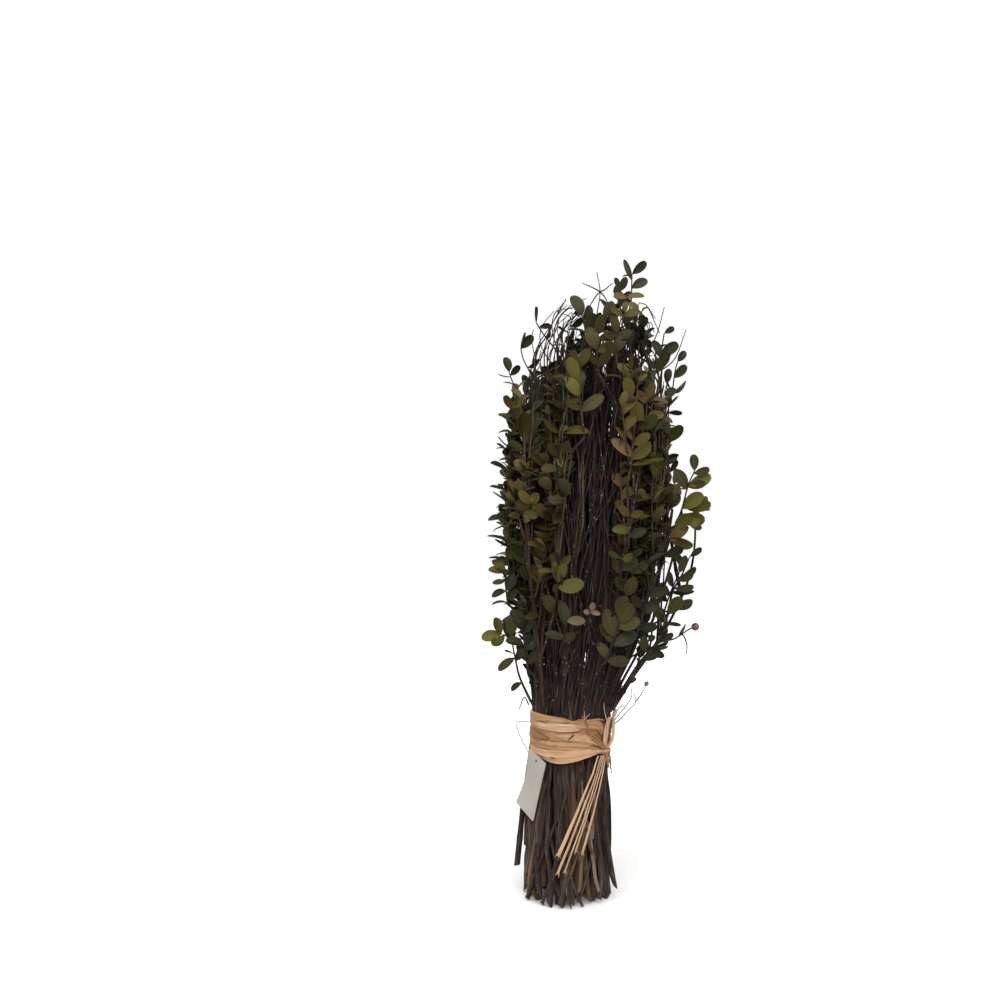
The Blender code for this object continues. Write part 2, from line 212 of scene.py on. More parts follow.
class Nodes:
    """A new material, with short ways to add the few kinds of shader node that the materials use."""

    def __init__(self, name):
        self.material = bpy.data.materials.new(name)
        self.material.use_nodes = True
        self.nodes = self.material.node_tree.nodes
        self.links = self.material.node_tree.links
        self.shader = self.nodes["Principled BSDF"]

    def put(self, socket, value):
        if hasattr(value, "is_output"):
            self.links.new(value, socket)
        else:
            socket.default_value = value

    def add(self, kind, inputs=(), **settings):
        node = self.nodes.new(kind)
        for name, value in settings.items():
            setattr(node, name, value)
        for key, value in dict(inputs).items():
            self.put(node.inputs[key], value)
        return node

    def attribute(self, name):
        vector = self.add("ShaderNodeAttribute", attribute_name=name).outputs["Vector"]
        return self.add("ShaderNodeSeparateXYZ", {0: vector}).outputs

    def math(self, operation, *values):
        return self.add("ShaderNodeMath", dict(enumerate(values)), operation=operation).outputs[0]

    def times(self, a, b):
        return self.math("MULTIPLY", a, b)

    def plus(self, a, b):
        return self.math("ADD", a, b)

    def ramp(self, factor, stops):
        node = self.add("ShaderNodeValToRGB", {0: factor})
        elements = node.color_ramp.elements
        while len(elements) < len(stops):
            elements.new(0.5)
        for element, (place, colour) in zip(elements, stops):
            element.position = place
            element.color = (*colour, 1.0)
        return node.outputs[0]

    def mix(self, factor, a, b, blend="MIX"):
        """Colour a turned into colour b, whose sockets are numbers 6 and 7 of the node."""
        a, b = ((*colour, 1.0) if isinstance(colour, tuple) else colour for colour in (a, b))
        node = self.add("ShaderNodeMix", {0: factor, 6: a, 7: b}, data_type="RGBA", blend_type=blend)
        return node.outputs[2]

    def dimmed(self, colour, gain):
        return self.mix(1.0, colour, self.vector(gain, gain, gain), "MULTIPLY")

    def vector(self, x, y, z):
        return self.add("ShaderNodeCombineXYZ", {0: x, 1: y, 2: z}).outputs[0]

    def length(self, vector):
        return self.add("ShaderNodeVectorMath", {0: vector}, operation="LENGTH").outputs["Value"]

    def place(self, scale=(1.0, 1.0, 1.0), location=(0.0, 0.0, 0.0)):
        place = self.add("ShaderNodeTexCoord").outputs["Object"]
        inputs = {"Vector": place, "Scale": scale, "Location": location}
        return self.add("ShaderNodeMapping", inputs).outputs[0]

    def noise(self, vector, scale=1.0, detail=2.0, roughness=0.5):
        inputs = {"Vector": vector, "Scale": scale, "Detail": detail, "Roughness": roughness}
        return self.add("ShaderNodeTexNoise", inputs).outputs["Fac"]

    def span(self, value, low, high, to_low=0.0, to_high=1.0):
        return self.add("ShaderNodeMapRange", {0: value, 1: low, 2: high, 3: to_low, 4: to_high}).outputs[0]

    def bump(self, height, strength, distance):
        inputs = {"Height": height, "Strength": strength, "Distance": distance}
        self.put(self.shader.inputs["Normal"], self.add("ShaderNodeBump", inputs).outputs[0])

    def set(self, **values):
        for name, value in values.items():
            self.put(self.shader.inputs[name.replace("_", " ")], value)
        return self.material


LEAF_STOPS = (
    (0.00, (0.0108, 0.0152, 0.0060)),
    (0.22, (0.0185, 0.0188, 0.0052)),
    (0.45, (0.0310, 0.0275, 0.0058)),
    (0.60, (0.0500, 0.0455, 0.0060)),
    (0.72, (0.0600, 0.0490, 0.0075)),
    (0.84, (0.0580, 0.0375, 0.0095)),
    (1.00, (0.0520, 0.0285, 0.0090)),
)
BARK_STOPS = (
    (0.00, (0.0163, 0.0101, 0.0079)),
    (0.40, (0.0326, 0.0202, 0.0152)),
    (0.60, (0.0640, 0.0370, 0.0190)),
    (0.80, (0.0737, 0.0504, 0.0347)),
    (1.00, (0.1164, 0.0840, 0.0596)),
)
TWIG_STOPS = (
    (0.00, (0.0129, 0.0072, 0.0066)),
    (0.55, (0.0286, 0.0150, 0.0116)),
    (0.80, (0.0408, 0.0242, 0.0132)),
    (1.00, (0.0510, 0.0346, 0.0158)),
)
RAFFIA_STOPS = (
    (0.00, (0.1600, 0.0700, 0.0300)),
    (0.45, (0.2950, 0.1560, 0.0720)),
    (0.85, (0.3950, 0.2500, 0.1480)),
    (1.00, (0.3000, 0.2850, 0.2650)),
)
# A ring in the band's fibres: its middle and how much wider than high it is
RING_PLACE = (-0.0137, -0.0290, 0.1217)
RING_HIGH = 0.0023


def leaf_material():
    """Preserved boxwood: leathery, paler below, with a light midrib and margin and mottled colour. One half
    of each leaf carries painted shade of its fold.
    """
    n = Nodes("boxwood_leaf")
    shade, bright, seed = n.attribute("tint")
    across, along, under = n.attribute("grain")
    lateral = n.math("ABSOLUTE", across)
    # Painted shade of the fold along the midrib: one half of each leaf is painted darker and the other
    # lighter
    painted_lit_half = n.span(n.noise(n.vector(seed, seed, seed), 40.0), 0.3, 0.7, -1.0, 1.0)
    painted_fold_shade = n.span(n.times(across, painted_lit_half), -1.0, 1.0, 0.70, 1.25)
    spot = n.vector(n.times(across, 1.3), n.times(along, 2.2), n.times(seed, 90.0))
    mottle = n.noise(spot, 2.2, 4.0, 0.6)
    base = n.ramp(shade, LEAF_STOPS)
    aged = n.mix(n.span(mottle, 0.52, 0.78, 0.0, 0.6), base, (0.056, 0.035, 0.012))
    rib = n.span(lateral, 0.02, 0.10, 0.24, 0.0)
    ribbed = n.mix(rib, aged, (0.090, 0.084, 0.030))
    margin = n.mix(n.span(lateral, 0.86, 1.0, 0.0, 0.25), ribbed, (0.085, 0.060, 0.026))
    below = n.mix(n.times(under, 0.45), margin, (0.062, 0.056, 0.026))
    dried = n.mix(n.span(bright, 1.5, 1.9, 0.0, 0.85), below, (0.100, 0.076, 0.061))
    gain = n.times(n.math("MINIMUM", bright, 1.35), painted_fold_shade)
    gain = n.times(gain, n.span(n.noise(spot, 9.0, 2.0), 0.3, 0.7, 0.75, 1.2))
    veins = n.math("SINE", n.plus(n.times(along, 62.0), n.times(lateral, -16.0)))
    pits = n.noise(n.place(), 1500.0, 2.0)
    n.bump(n.plus(n.times(veins, 0.12), n.plus(n.times(rib, -1.2), pits)), 0.35, 0.0004)
    rough = n.plus(n.span(mottle, 0.3, 0.7, 0.42, 0.58), n.times(under, 0.15))
    return n.set(Base_Color=n.dimmed(dried, gain), Roughness=rough, Specular_IOR_Level=0.10)


def bark_material(name, stops, speck, streaks, scuff_and_sheen_share):
    """Bark with streaks along the stem, worn patches, pale grey streaks that are partly scuffs and partly
    painted sheen, and small pale lenticels.
    """
    n = Nodes(name)
    shade, bright, seed = n.attribute("tint")
    across, along, _ = n.attribute("grain")
    grain = n.vector(n.times(across, streaks), n.times(along, 90.0), n.times(seed, 70.0))
    streak = n.noise(grain, 1.0, 6.0, 0.72)
    patch = n.noise(n.vector(across, n.times(along, 45.0), n.times(seed, 50.0)), 1.6, 3.0)
    worn = n.mix(n.span(patch, 0.52, 0.72, 0.0, 0.6), n.ramp(shade, stops), (0.080, 0.060, 0.046))
    # Pale grey streaks along the bark: partly grey scuffs, partly painted sheen standing for the highlights
    # on the stems' ridges
    sheen = n.noise(n.vector(n.times(across, 1.2), n.times(along, 24.0), n.times(seed, 30.0)), 1.0, 3.0, 0.6)
    grey_scuffs_and_sheen = n.mix(n.span(sheen, 0.50, 0.70, 0.0, scuff_and_sheen_share), worn, (0.075, 0.066, 0.062))
    streaked = n.dimmed(grey_scuffs_and_sheen, n.times(bright, n.span(streak, 0.36, 0.66, 0.30, 1.8)))
    cells = n.add("ShaderNodeTexVoronoi", {"Vector": n.place((1.0, 1.0, 0.7)), "Scale": 420.0})
    some = n.span(n.noise(n.place(), 160.0, 1.0), 0.50, 0.60)
    dot = n.times(n.span(cells.outputs["Distance"], 0.14, 0.30, 1.0, 0.0), some)
    colour = n.mix(n.times(dot, speck), streaked, (0.30, 0.26, 0.24))
    fissures = n.noise(grain, 3.0, 4.0, 0.7)
    n.bump(n.plus(n.plus(streak, n.times(fissures, 0.5)), n.times(dot, 0.8)), 1.0, 0.0009)
    rough = n.span(streak, 0.3, 0.7, 0.62, 0.86)
    return n.set(Base_Color=colour, Roughness=rough, Specular_IOR_Level=0.12)


def cut_wood_material():
    """Sawn end of a branch: greyed rings round a dark pith."""
    n = Nodes("cut_wood")
    radius, _, _ = n.attribute("grain")
    _, _, seed = n.attribute("tint")
    rings = n.math("SINE", n.plus(n.times(radius, 24.0), n.times(seed, 9.0)))
    wood = n.mix(n.span(rings, -1.0, 1.0), (0.105, 0.070, 0.044), (0.150, 0.104, 0.068))
    pith = n.mix(n.span(radius, 0.10, 0.20, 1.0, 0.0), wood, (0.05, 0.034, 0.024))
    rim = n.mix(n.span(radius, 0.86, 0.97), pith, (0.036, 0.025, 0.020))
    fibres = n.noise(n.place(), 2600.0, 3.0)
    n.bump(fibres, 0.5, 0.0003)
    soiled = n.mix(n.span(fibres, 0.35, 0.7, 0.0, 0.45), rim, (0.065, 0.046, 0.034))
    return n.set(Base_Color=soiled, Roughness=0.85, Specular_IOR_Level=0.2)


def raffia_material():
    """Dry palm fibre: fine light and dark fibres along the strip, with stains, flecks and one ring."""
    n = Nodes("raffia")
    shade, bright, seed = n.attribute("tint")
    across, along, _ = n.attribute("grain")
    depth = n.times(seed, 80.0)

    def streaks(over, lengthwise, detail, roughness=0.5):
        scaled = n.vector(n.times(across, over), n.times(along, lengthwise), depth)
        return n.noise(scaled, 1.0, detail, roughness)

    fibres = streaks(9000.0, 90.0, 3.0, 0.6)
    bands = streaks(1800.0, 40.0, 2.0)
    stain = streaks(160.0, 110.0, 3.0, 0.6)
    fleck = streaks(900.0, 260.0, 1.0)
    gain = n.plus(n.span(fibres, 0.25, 0.75, 0.34, 0.62), n.span(bands, 0.25, 0.75, 0.26, 0.76))
    streaked = n.dimmed(n.ramp(shade, RAFFIA_STOPS), n.times(bright, gain))
    stained = n.mix(n.span(stain, 0.62, 0.78, 0.0, 0.6), streaked, (0.17, 0.080, 0.038))
    ring_scale = (0.55 / RING_HIGH, 0.0, 1.0 / RING_HIGH)
    spot = n.place(ring_scale, tuple(-place * scale for place, scale in zip(RING_PLACE, ring_scale)))
    wobble = n.plus(n.length(spot), n.times(n.noise(spot, 1.6, 2.0), 0.5))
    ring = n.math("SUBTRACT", 1.0, n.math("ABSOLUTE", n.times(n.math("SUBTRACT", wobble, 1.20), 4.0)))
    ringed = n.mix(n.times(n.math("MAXIMUM", ring, 0.0), 0.6), stained, (0.15, 0.068, 0.032))
    colour = n.mix(n.span(fleck, 0.74, 0.79, 0.0, 0.85), ringed, (0.07, 0.035, 0.02))
    n.bump(n.plus(fibres, bands), 0.9, 0.0006)
    return n.set(Base_Color=colour, Roughness=0.6, Specular_IOR_Level=0.25)


def card_material():
    """Uncoated pale card, a little soiled towards its edges."""
    n = Nodes("card")
    across, along, _ = n.attribute("grain")
    fibres = n.noise(n.place(), 1800.0, 4.0, 0.7)
    clouds = n.noise(n.place(), 60.0, 2.0)
    base = n.mix(n.span(fibres, 0.3, 0.7), (0.246, 0.225, 0.200), (0.284, 0.262, 0.236))
    beside, ends = n.math("ABSOLUTE", across), n.math("ABSOLUTE", along)
    edge = n.math("MAXIMUM", n.span(beside, 0.9, 1.0), n.span(ends, 0.95, 1.0))
    soil = n.times(n.plus(edge, n.span(clouds, 0.5, 0.75)), 0.2)
    n.bump(fibres, 0.25, 0.0002)
    colour = n.mix(soil, base, (0.22, 0.195, 0.165))
    return n.set(Base_Color=colour, Roughness=0.8, Specular_IOR_Level=0.2)


def nylon_material():
    """Clear nylon filament, clouded by fine scratches."""
    n = Nodes("nylon")
    haze = n.noise(n.place((1.0, 1.0, 0.3)), 2200.0, 2.0)
    n.bump(haze, 0.15, 0.0001)
    colour = n.mix(haze, (0.20, 0.20, 0.195), (0.30, 0.30, 0.29))
    return n.set(Base_Color=colour, Roughness=n.span(haze, 0.3, 0.7, 0.35, 0.55), Specular_IOR_Level=0.3)


# ---------------------------------------------------------------- meshes

# How far the bark's pattern is drawn out of line round a stem, so that it shows no seam
GRAIN_SLANT = 0.004
# Edges that turn by more degrees than this aren't smoothed
SHARP_ANGLE = 60
# The numbers of a branch's materials. Raffia and card have one only, which is number 0
BARK, CUT_WOOD, TWIG_BARK, LEAF = range(4)


def unit(vector):
    return vector / np.linalg.norm(vector)


def units(rows):
    """The rows of an array, each at unit length."""
    return rows / np.linalg.norm(rows, axis=1)[:, None]


def square_to(vector, along):
    """The part of a vector at right angles to a unit vector, at unit length."""
    return unit(vector - along * vector.dot(along))


def any_turn(rng):
    """A random angle in radians."""
    return rng.uniform(0.0, math.tau)


def ramp(value, start, end):
    """0 before start, 1 past end, and straight between them."""
    return np.clip((value - start) / (end - start), 0.0, 1.0)


@functools.cache
def tube_faces(rows, columns):
    """Faces between the rings of a tube."""
    low = np.arange(rows - 1)[:, None] * columns
    here = np.arange(columns)[None]
    beside = (here + 1) % columns
    quads = np.stack((low + here, low + beside, low + beside + columns, low + here + columns), axis=-1)
    return quads.reshape(-1, 4)


@functools.cache
def sheet_faces(rows, columns):
    """Faces of a thin closed sheet: an upper grid, a lower grid and the rim between them."""
    low = np.arange(rows - 1)[:, None] * columns
    here = np.arange(columns - 1)[None]
    upper = np.stack((low + here, low + here + 1, low + here + 1 + columns, low + here + columns), axis=-1)
    upper = upper.reshape(-1, 4)
    size = rows * columns
    across, left = np.arange(columns), np.arange(rows) * columns
    right = left + columns - 1
    loop = np.concatenate((across, right[1:], size - columns + across[:-1][::-1], left[::-1][1:-1]))
    beside = np.roll(loop, -1)
    rim = np.stack((beside, loop, loop + size, beside + size), axis=1)
    return np.concatenate((upper, upper[:, ::-1] + size, rim))


def fill(rows, **values):
    """Adds rows to a mesh, as many as there are values, and sets those."""
    rows.add(len(next(iter(values.values()))))
    for name, value in values.items():
        rows.foreach_set(name, value.ravel())


class Shape:
    """Points and faces of a piece while it grows, with each point's tint and grain."""

    def __init__(self):
        self.points, self.tints, self.grains, self.faces = [], [], [], []
        self.count = 0

    def add(self, points, faces, tint, grain, slot=BARK):
        """Faces are arrays of point numbers, with as many columns as a face has corners."""
        points = np.asarray(points, dtype=float).reshape(-1, 3)
        self.points.append(points)
        self.tints.append(np.broadcast_to(np.asarray(tint, dtype=float), points.shape))
        self.grains.append(np.asarray(grain, dtype=float).reshape(-1, 3))
        self.faces += [(np.asarray(block) + self.count, slot) for block in faces]
        self.count += len(points)

    def make(self, name, materials):
        """The object, with its faces smooth but for sharp edges, and nothing of it below the floor."""
        mesh = bpy.data.meshes.new(name)
        points = np.concatenate(self.points)
        points[:, 2] = np.maximum(points[:, 2], 0.0)
        sizes = np.concatenate([np.full(len(block), block.shape[1]) for block, _ in self.faces])
        corners = np.concatenate([block.ravel() for block, _ in self.faces])
        slots = np.concatenate([np.full(len(block), slot) for block, slot in self.faces])
        starts = np.concatenate(([0], np.cumsum(sizes)[:-1]))
        fill(mesh.vertices, co=points)
        fill(mesh.loops, vertex_index=corners.astype(np.int32))
        fill(mesh.polygons, loop_start=starts.astype(np.int32), material_index=slots.astype(np.int32))
        mesh.update(calc_edges=True)
        for layer, rows in (("tint", self.tints), ("grain", self.grains)):
            attribute = mesh.attributes.new(layer, "FLOAT_VECTOR", "POINT")
            attribute.data.foreach_set("vector", np.concatenate(rows).ravel())
        for material in materials:
            mesh.materials.append(material)
        mesh.shade_smooth()
        mesh.set_sharp_from_angle(angle=math.radians(SHARP_ANGLE))
        return link(name, mesh)


def finish_piece(piece, node):
    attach(piece, "root")
    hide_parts(node)


def walked_along(path):
    return np.concatenate(([0.0], np.cumsum(np.linalg.norm(np.diff(path, axis=0), axis=1))))


def frames_along(path):
    """Directions across and over a path, which turn about it as little as they can."""
    along = units(np.gradient(path, axis=0))
    across = np.empty_like(path)
    way = np.cross(along[0], UP if abs(along[0][2]) < 0.9 else np.array((1.0, 0.0, 0.0)))
    for number, ahead in enumerate(along):
        way = square_to(way, ahead)
        across[number] = way
    return across, np.cross(along, across)


def smooth_path(points, steps):
    """Rows of numbers, such as points, spaced evenly along a smooth curve through the rows given."""
    knots = np.asarray(points, dtype=float)
    knots = np.concatenate((2.0 * knots[:1] - knots[1:2], knots, 2.0 * knots[-1:] - knots[-2:-1]))
    t = (np.arange(12) / 12.0)[:, None]
    fine = []
    for before, start, end, after in zip(knots, knots[1:], knots[2:], knots[3:]):
        fine.append(0.5 * (2.0 * start + (end - before) * t
                           + (2.0 * before - 5.0 * start + 4.0 * end - after) * t ** 2
                           + (3.0 * start - before - 3.0 * end + after) * t ** 3))
    fine = np.concatenate((*fine, knots[-2:-1]))
    walked = walked_along(fine[:, :3])
    spaced = np.linspace(0.0, walked[-1], steps)
    return np.stack([np.interp(spaced, walked, column) for column in fine.T], axis=1)


def low_shade(z):
    """Painted shade: the wood is painted darker from just above the band to the middle of the bundle, where
    the foliage shades it.
    """
    return 1.0 - 0.26 * ramp(z, 0.143, 0.160) * (1.0 - ramp(z, 0.262, 0.305))


def round_rows(along, sides, tint, brightness):
    """The turns round a stem, and the tint and grain of its rings of points."""
    turns = math.tau * np.arange(sides) / sides
    tints, grain = np.empty((len(along), sides, 3)), np.zeros((len(along), sides, 3))
    tints[:] = tint
    tints[..., 1] *= brightness[:, None]
    grain[..., 0] = np.cos(turns)[None]
    grain[..., 1] = along[:, None] + GRAIN_SLANT * np.sin(turns)[None]
    return turns, tints, grain


def add_tube(shape, path, radii, tint, sides=6, slot=BARK):
    """A round twig along a path, closed at both ends."""
    path = np.asarray(path, dtype=float)
    across, over = frames_along(path)
    # The brightness carries painted shade on the wood inside the bundle above the band
    turns, tints, grain = round_rows(walked_along(path), sides, tint, low_shade(path[:, 2]))
    spokes = across[:, None] * np.cos(turns)[None, :, None] + over[:, None] * np.sin(turns)[None, :, None]
    points = path[:, None] + spokes * np.asarray(radii, dtype=float)[:, None, None]
    ends = [np.arange(sides)[::-1][None], (np.arange(sides) + (len(path) - 1) * sides)[None]]
    shape.add(points, [tube_faces(len(path), sides), *ends], tints.reshape(-1, 3), grain, slot)


def add_twiglet(shape, path, thick, thin, tint, sides=5):
    """A fine twig that thins evenly along its path."""
    add_tube(shape, path, np.linspace(thick, thin, len(path)), tint, sides, TWIG_BARK)


# How many waves the pleats of a ribbon make across it
PLEATS = (1.3, 2.4, 4.1)


def add_ribbon(shape, middle, side, out, half, tint, rng, pleat=0.0002, bulge=0.0, thick=0.00022, columns=9):
    """A thin closed strip along a course, pleated lengthwise. side points across it, out off its face."""
    x = np.linspace(-1.0, 1.0, columns)[None]
    walked = walked_along(middle)[:, None]
    lift = np.broadcast_to(bulge * (1.0 - x ** 2), (len(middle), columns))
    for waves in PLEATS:
        phase, drift, wave = any_turn(rng), rng.uniform(-60.0, 60.0), rng.uniform(60.0, 160.0)
        ripple = np.sin(math.pi * waves * x + phase + drift * walked + np.sin(wave * walked))
        lift = lift + pleat / waves ** 0.5 * ripple
    half = np.broadcast_to(half, len(middle))[:, None]
    upper = middle[:, None] + side[:, None] * (half * x)[..., None] + out[:, None] * lift[..., None]
    grain = np.zeros((2, *lift.shape, 3))
    grain[..., 0] = half * x
    grain[..., 1] = walked
    grain[1, ..., 2] = 1.0
    points = np.stack((upper, upper - out[:, None] * thick))
    shape.add(points, [sheet_faces(len(middle), columns)], tint, grain)


# ---------------------------------------------------------------- the bundle's section

def smooth_row(values, z):
    """A row of values, one for each of LEVELS, read off smoothly at heights z."""
    z = np.clip(np.asarray(z, dtype=float), LEVELS[0], LEVELS[-1])
    levels, values = np.array(LEVELS), np.array(values)
    slopes = np.gradient(values, levels)
    low = np.clip(np.searchsorted(levels, z, side="right") - 1, 0, len(levels) - 2)
    width = levels[low + 1] - levels[low]
    t = (z - levels[low]) / width
    return ((2 * t ** 3 - 3 * t ** 2 + 1) * values[low] + (t ** 3 - 2 * t ** 2 + t) * width * slopes[low]
            + (3 * t ** 2 - 2 * t ** 3) * values[low + 1] + (t ** 3 - t ** 2) * width * slopes[low + 1])


def outwards(azimuth):
    """The level direction away from the bundle's middle."""
    turn = np.radians(azimuth)
    return np.stack((np.sin(turn), -np.cos(turn), 0.0 * turn), axis=-1)


def rightwards(azimuth):
    """The level direction round the bundle, square to outwards."""
    turn = np.radians(azimuth)
    return np.stack((np.cos(turn), np.sin(turn), 0.0 * turn), axis=-1)


def centre(z):
    """X and Y of the bundle's leaning middle at heights z."""
    return np.stack((smooth_row(LEAN, z), 0.0 * z), axis=-1)


def around(azimuth, radius, z):
    """Points at an azimuth and a distance from the bundle's leaning middle."""
    z = np.asarray(z, dtype=float)
    middle = np.concatenate((centre(z), z[..., None]), axis=-1)
    return middle + outwards(azimuth) * np.asarray(radius, dtype=float)[..., None]


def leafy_point(spec, z):
    """The middle of a leafy branch at heights z, as in the solids."""
    place, top_azimuth, stand_out, top, _ = spec
    start = place * 360.0 / OUTER_PLACES
    drift = (top_azimuth - start + 180.0) % 360.0 - 180.0
    turned = start + drift * ramp(z, LEVELS[3], LEVELS[5]) + OUTER_TURN * (1.0 - ramp(z, 0.0, LEVELS[2]))
    stand = stand_out * ramp(z, LEVELS[3], LEVELS[5]) ** 0.7 * (1.0 - 0.55 * ramp(z, top - 0.100, top))
    return around(turned, smooth_row(GIRTH, z) * OUTER_SHARE + stand, z)


def wander(z, rng, amount, wave):
    """A slow sideways drift with height, in X and Y."""
    drift = np.zeros((len(z), 3))
    for axis in (0, 1):
        for part in (1.0, 0.45):
            drift[:, axis] += amount * part * np.sin(math.tau * z / (wave * part) + any_turn(rng))
    return drift


# How far the leaves reach: height, X of the middle, and how far from it to the sides
OUTLINE = metres((
    (1450, 60, 400), (1670, 60, 480), (1910, 60, 600), (2150, 110, 640), (2400, 140, 710), (3000, 180, 750),
    (3400, 180, 720), (3800, 190, 690), (3980, 200, 660), (4100, 300, 530), (4200, 350, 430),
    (4320, 370, 360), (4450, 360, 280), (4520, 380, 200), (4620, 420, 120), (4900, 460, 40),
))
# How much further they reach forwards and backwards
OUTLINE_DEEPER = 0.012


def outline_at(points):
    """How far points are from the outline's middle, and how far the outline is from it there."""
    height, middle, reach = np.array(OUTLINE).T
    sideways = points[..., 0] - np.interp(points[..., 2], height, middle)
    reach = np.interp(points[..., 2], height, reach)
    return np.hypot(sideways, points[..., 1] * reach / (reach + OUTLINE_DEEPER)), reach


def beyond_outline(point, margin=0.0):
    distance, reach = outline_at(point)
    return distance > reach - margin


def trimmed(course, fewest, margin):
    """A course without its end beyond the outline, but with a fewest number of points."""
    while len(course) > fewest and beyond_outline(course[-1], margin):
        course = course[:-1]
    return course


def held(points, margin):
    """Points drawn in to lie within the outline."""
    distance, reach = outline_at(points)
    share = np.minimum(1.0, (reach - margin) / np.maximum(distance, 1e-6))[:, None]
    middle = np.interp(points[:, 2], *np.array(OUTLINE).T[:2])
    middle = np.stack((middle, 0.0 * middle, points[:, 2]), axis=1)
    return middle + (points - middle) * share


def section_place(point):
    """Where in the bundle's round section a point stands, as shares of the radius."""
    girth = smooth_row(GIRTH, point[2])
    return np.array((point[0] - smooth_row(LEAN, point[2]), point[1])) / girth


def from_section(places, z):
    """Points from their places in the section, one for each height."""
    girth = smooth_row(GIRTH, z)
    return np.stack((smooth_row(LEAN, z) + girth * places[:, 0], girth * places[:, 1], z), axis=-1)


# ---------------------------------------------------------------- limbs

# The limbs' top, and the heights at which their courses and radii are known
STEM_TOP = 0.300
HEIGHTS = np.linspace(0.0, STEM_TOP, 76)
# By how many degrees the feet are swung round the bundle, and the limbs' share of the solids' thickness
LIMB_SWING = 17.0
LIMB_SHARE = 0.80
# How much of its foot's radius a limb keeps with height. It loses most below the band, where others leave it
THINNING = ((0.0, 0.035, 0.090, 0.250, STEM_TOP), (1.0, 0.78, 0.54, 0.34, 0.26))
# How far from the middle a foot has to be for its limb to count as outer, coloured or in full view
OUTER_FOOT = 0.026
COLOURED_FOOT = 0.027
SEEN_FOOT = 0.022
# The sides of a stem in full view, and of one that others hide
STEM_SIDES = 10
HIDDEN_STEM_SIDES = 7
# The height by which the limbs have come from their feet to their places in the band
GATHERED_BY = 0.100
# The height from which the stems spread towards their feet
SPREAD_FROM = 0.090
# Only limbs that fork above this height merge with their parent
FORKS_ABOVE = 0.015
# How settle works: its rounds, and how hard it pushes limbs apart, straightens them and holds them in place
SETTLE_ROUNDS = 120
SETTLE_PUSH = 0.30
SETTLE_STRAIGHTEN = 0.22
SETTLE_HOLD = 0.015
# By how much the main limbs' feet are higher than the solids' feet
LIMB_FEET = (0.0, 0.0, 0.0015, 0.0030, 0.0050)
# Companions: their radius at the foot, the heights of their feet, and by how many degrees they stand beside
# their branch and are swung
COMPANION_RADIUS = (0.0017, 0.0024)
COMPANION_FEET = (0.0, 0.0, 0.0010, 0.0025, 0.0060, 0.0140, 0.0450, 0.0600)
COMPANION_TURN = 9.0
COMPANION_SWING = 26.0
# Side limbs: their radius at the fork, between which heights they fork, and how far they leave their branch
SIDE_LIMB_RADIUS = (0.0013, 0.0021)
SIDE_LIMB_FORK = (FORKS_ABOVE + 0.001, 0.080)
SIDE_LIMB_REACH = (0.006, 0.018)


class Limb:
    """A stem from its cut end, or from its fork on a parent, up into the leaves."""

    def __init__(self, node, course, radius, foot, parent=None):
        self.node, self.course, self.radius, self.foot, self.parent = node, course, radius, foot, parent


def read_off(z, heights, columns):
    """Columns of values given at some heights, side by side, read off at heights z."""
    return np.stack([np.interp(z, heights, column) for column in columns], axis=1)


def solid_rings(node):
    """The height, middle and radius of each ring of points of a bare branch's solid."""
    points = np.array([vertex.co for vertex in frame["nodes"][node].data.vertices])
    rings = []
    for height in np.unique(np.round(points[:, 2], 4)):
        ring = np.unique(np.round(points[np.abs(points[:, 2] - height) < 0.0002], 6), axis=0)
        middle = ring.mean(axis=0)
        rings.append((height, middle[0], middle[1], np.linalg.norm(ring[0] - middle)))
    return np.array(rings).T


def main_limbs(rng):
    """A limb for each branch of the solids, on the branch's own course but for a swing of its foot."""
    rows = []
    for node in sorted(name for name in frame["nodes"] if name.startswith("bare_branch")):
        heights, x, y, radii = solid_rings(node)
        rows.append((node, read_off(HEIGHTS, heights, (x, y)), radii[0], heights[0]))
    for number, spec in enumerate(LEAFY):
        node = f"boxwood_branch_{number + 1:02d}"
        rows.append((node, leafy_point(spec, HEIGHTS)[:, :2], FOOT_RADIUS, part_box(node)[0][2]))
    low = 1.0 - ramp(HEIGHTS, 0.0, GATHERED_BY)
    limbs = []
    for node, course, radius, foot in rows:
        inwards = 1.0 + rng.uniform(-0.10, 0.06) * low
        foot += rng.choice(LIMB_FEET)
        course = turned(course, rng.gauss(0.0, LIMB_SWING) * low) * inwards[:, None]
        limbs.append(Limb(node, course, LIMB_SHARE * radius * np.interp(HEIGHTS, *THINNING), foot))
    return limbs


def turned(course, degrees):
    """A course swung round the bundle by a number of degrees at each height."""
    x, y = course.T
    swing = np.radians(degrees)
    return np.stack((x * np.cos(swing) - y * np.sin(swing), x * np.sin(swing) + y * np.cos(swing)), axis=1)


def companions(limbs, rng):
    """Thinner limbs with a foot of their own, which stand between the outer branches and lean across them."""
    low = 1.0 - ramp(HEIGHTS, 0.0, GATHERED_BY)
    thinner = np.interp(HEIGHTS, (0.0, GATHERED_BY, STEM_TOP), (1.0, 0.75, 0.40))
    beside = []
    for number, limb in enumerate(limbs):
        if np.linalg.norm(limb.course[0]) < OUTER_FOOT:
            continue
        beside_it = rng.choice((-COMPANION_TURN, COMPANION_TURN))
        course = turned(limb.course, beside_it + rng.gauss(0.0, COMPANION_SWING) * low)
        radius = rng.uniform(*COMPANION_RADIUS) * thinner
        foot = rng.choice(COMPANION_FEET)
        beside.append(Limb(limb.node, gathered(course * rng.uniform(0.94, 1.04)), radius, foot, number))
    return beside


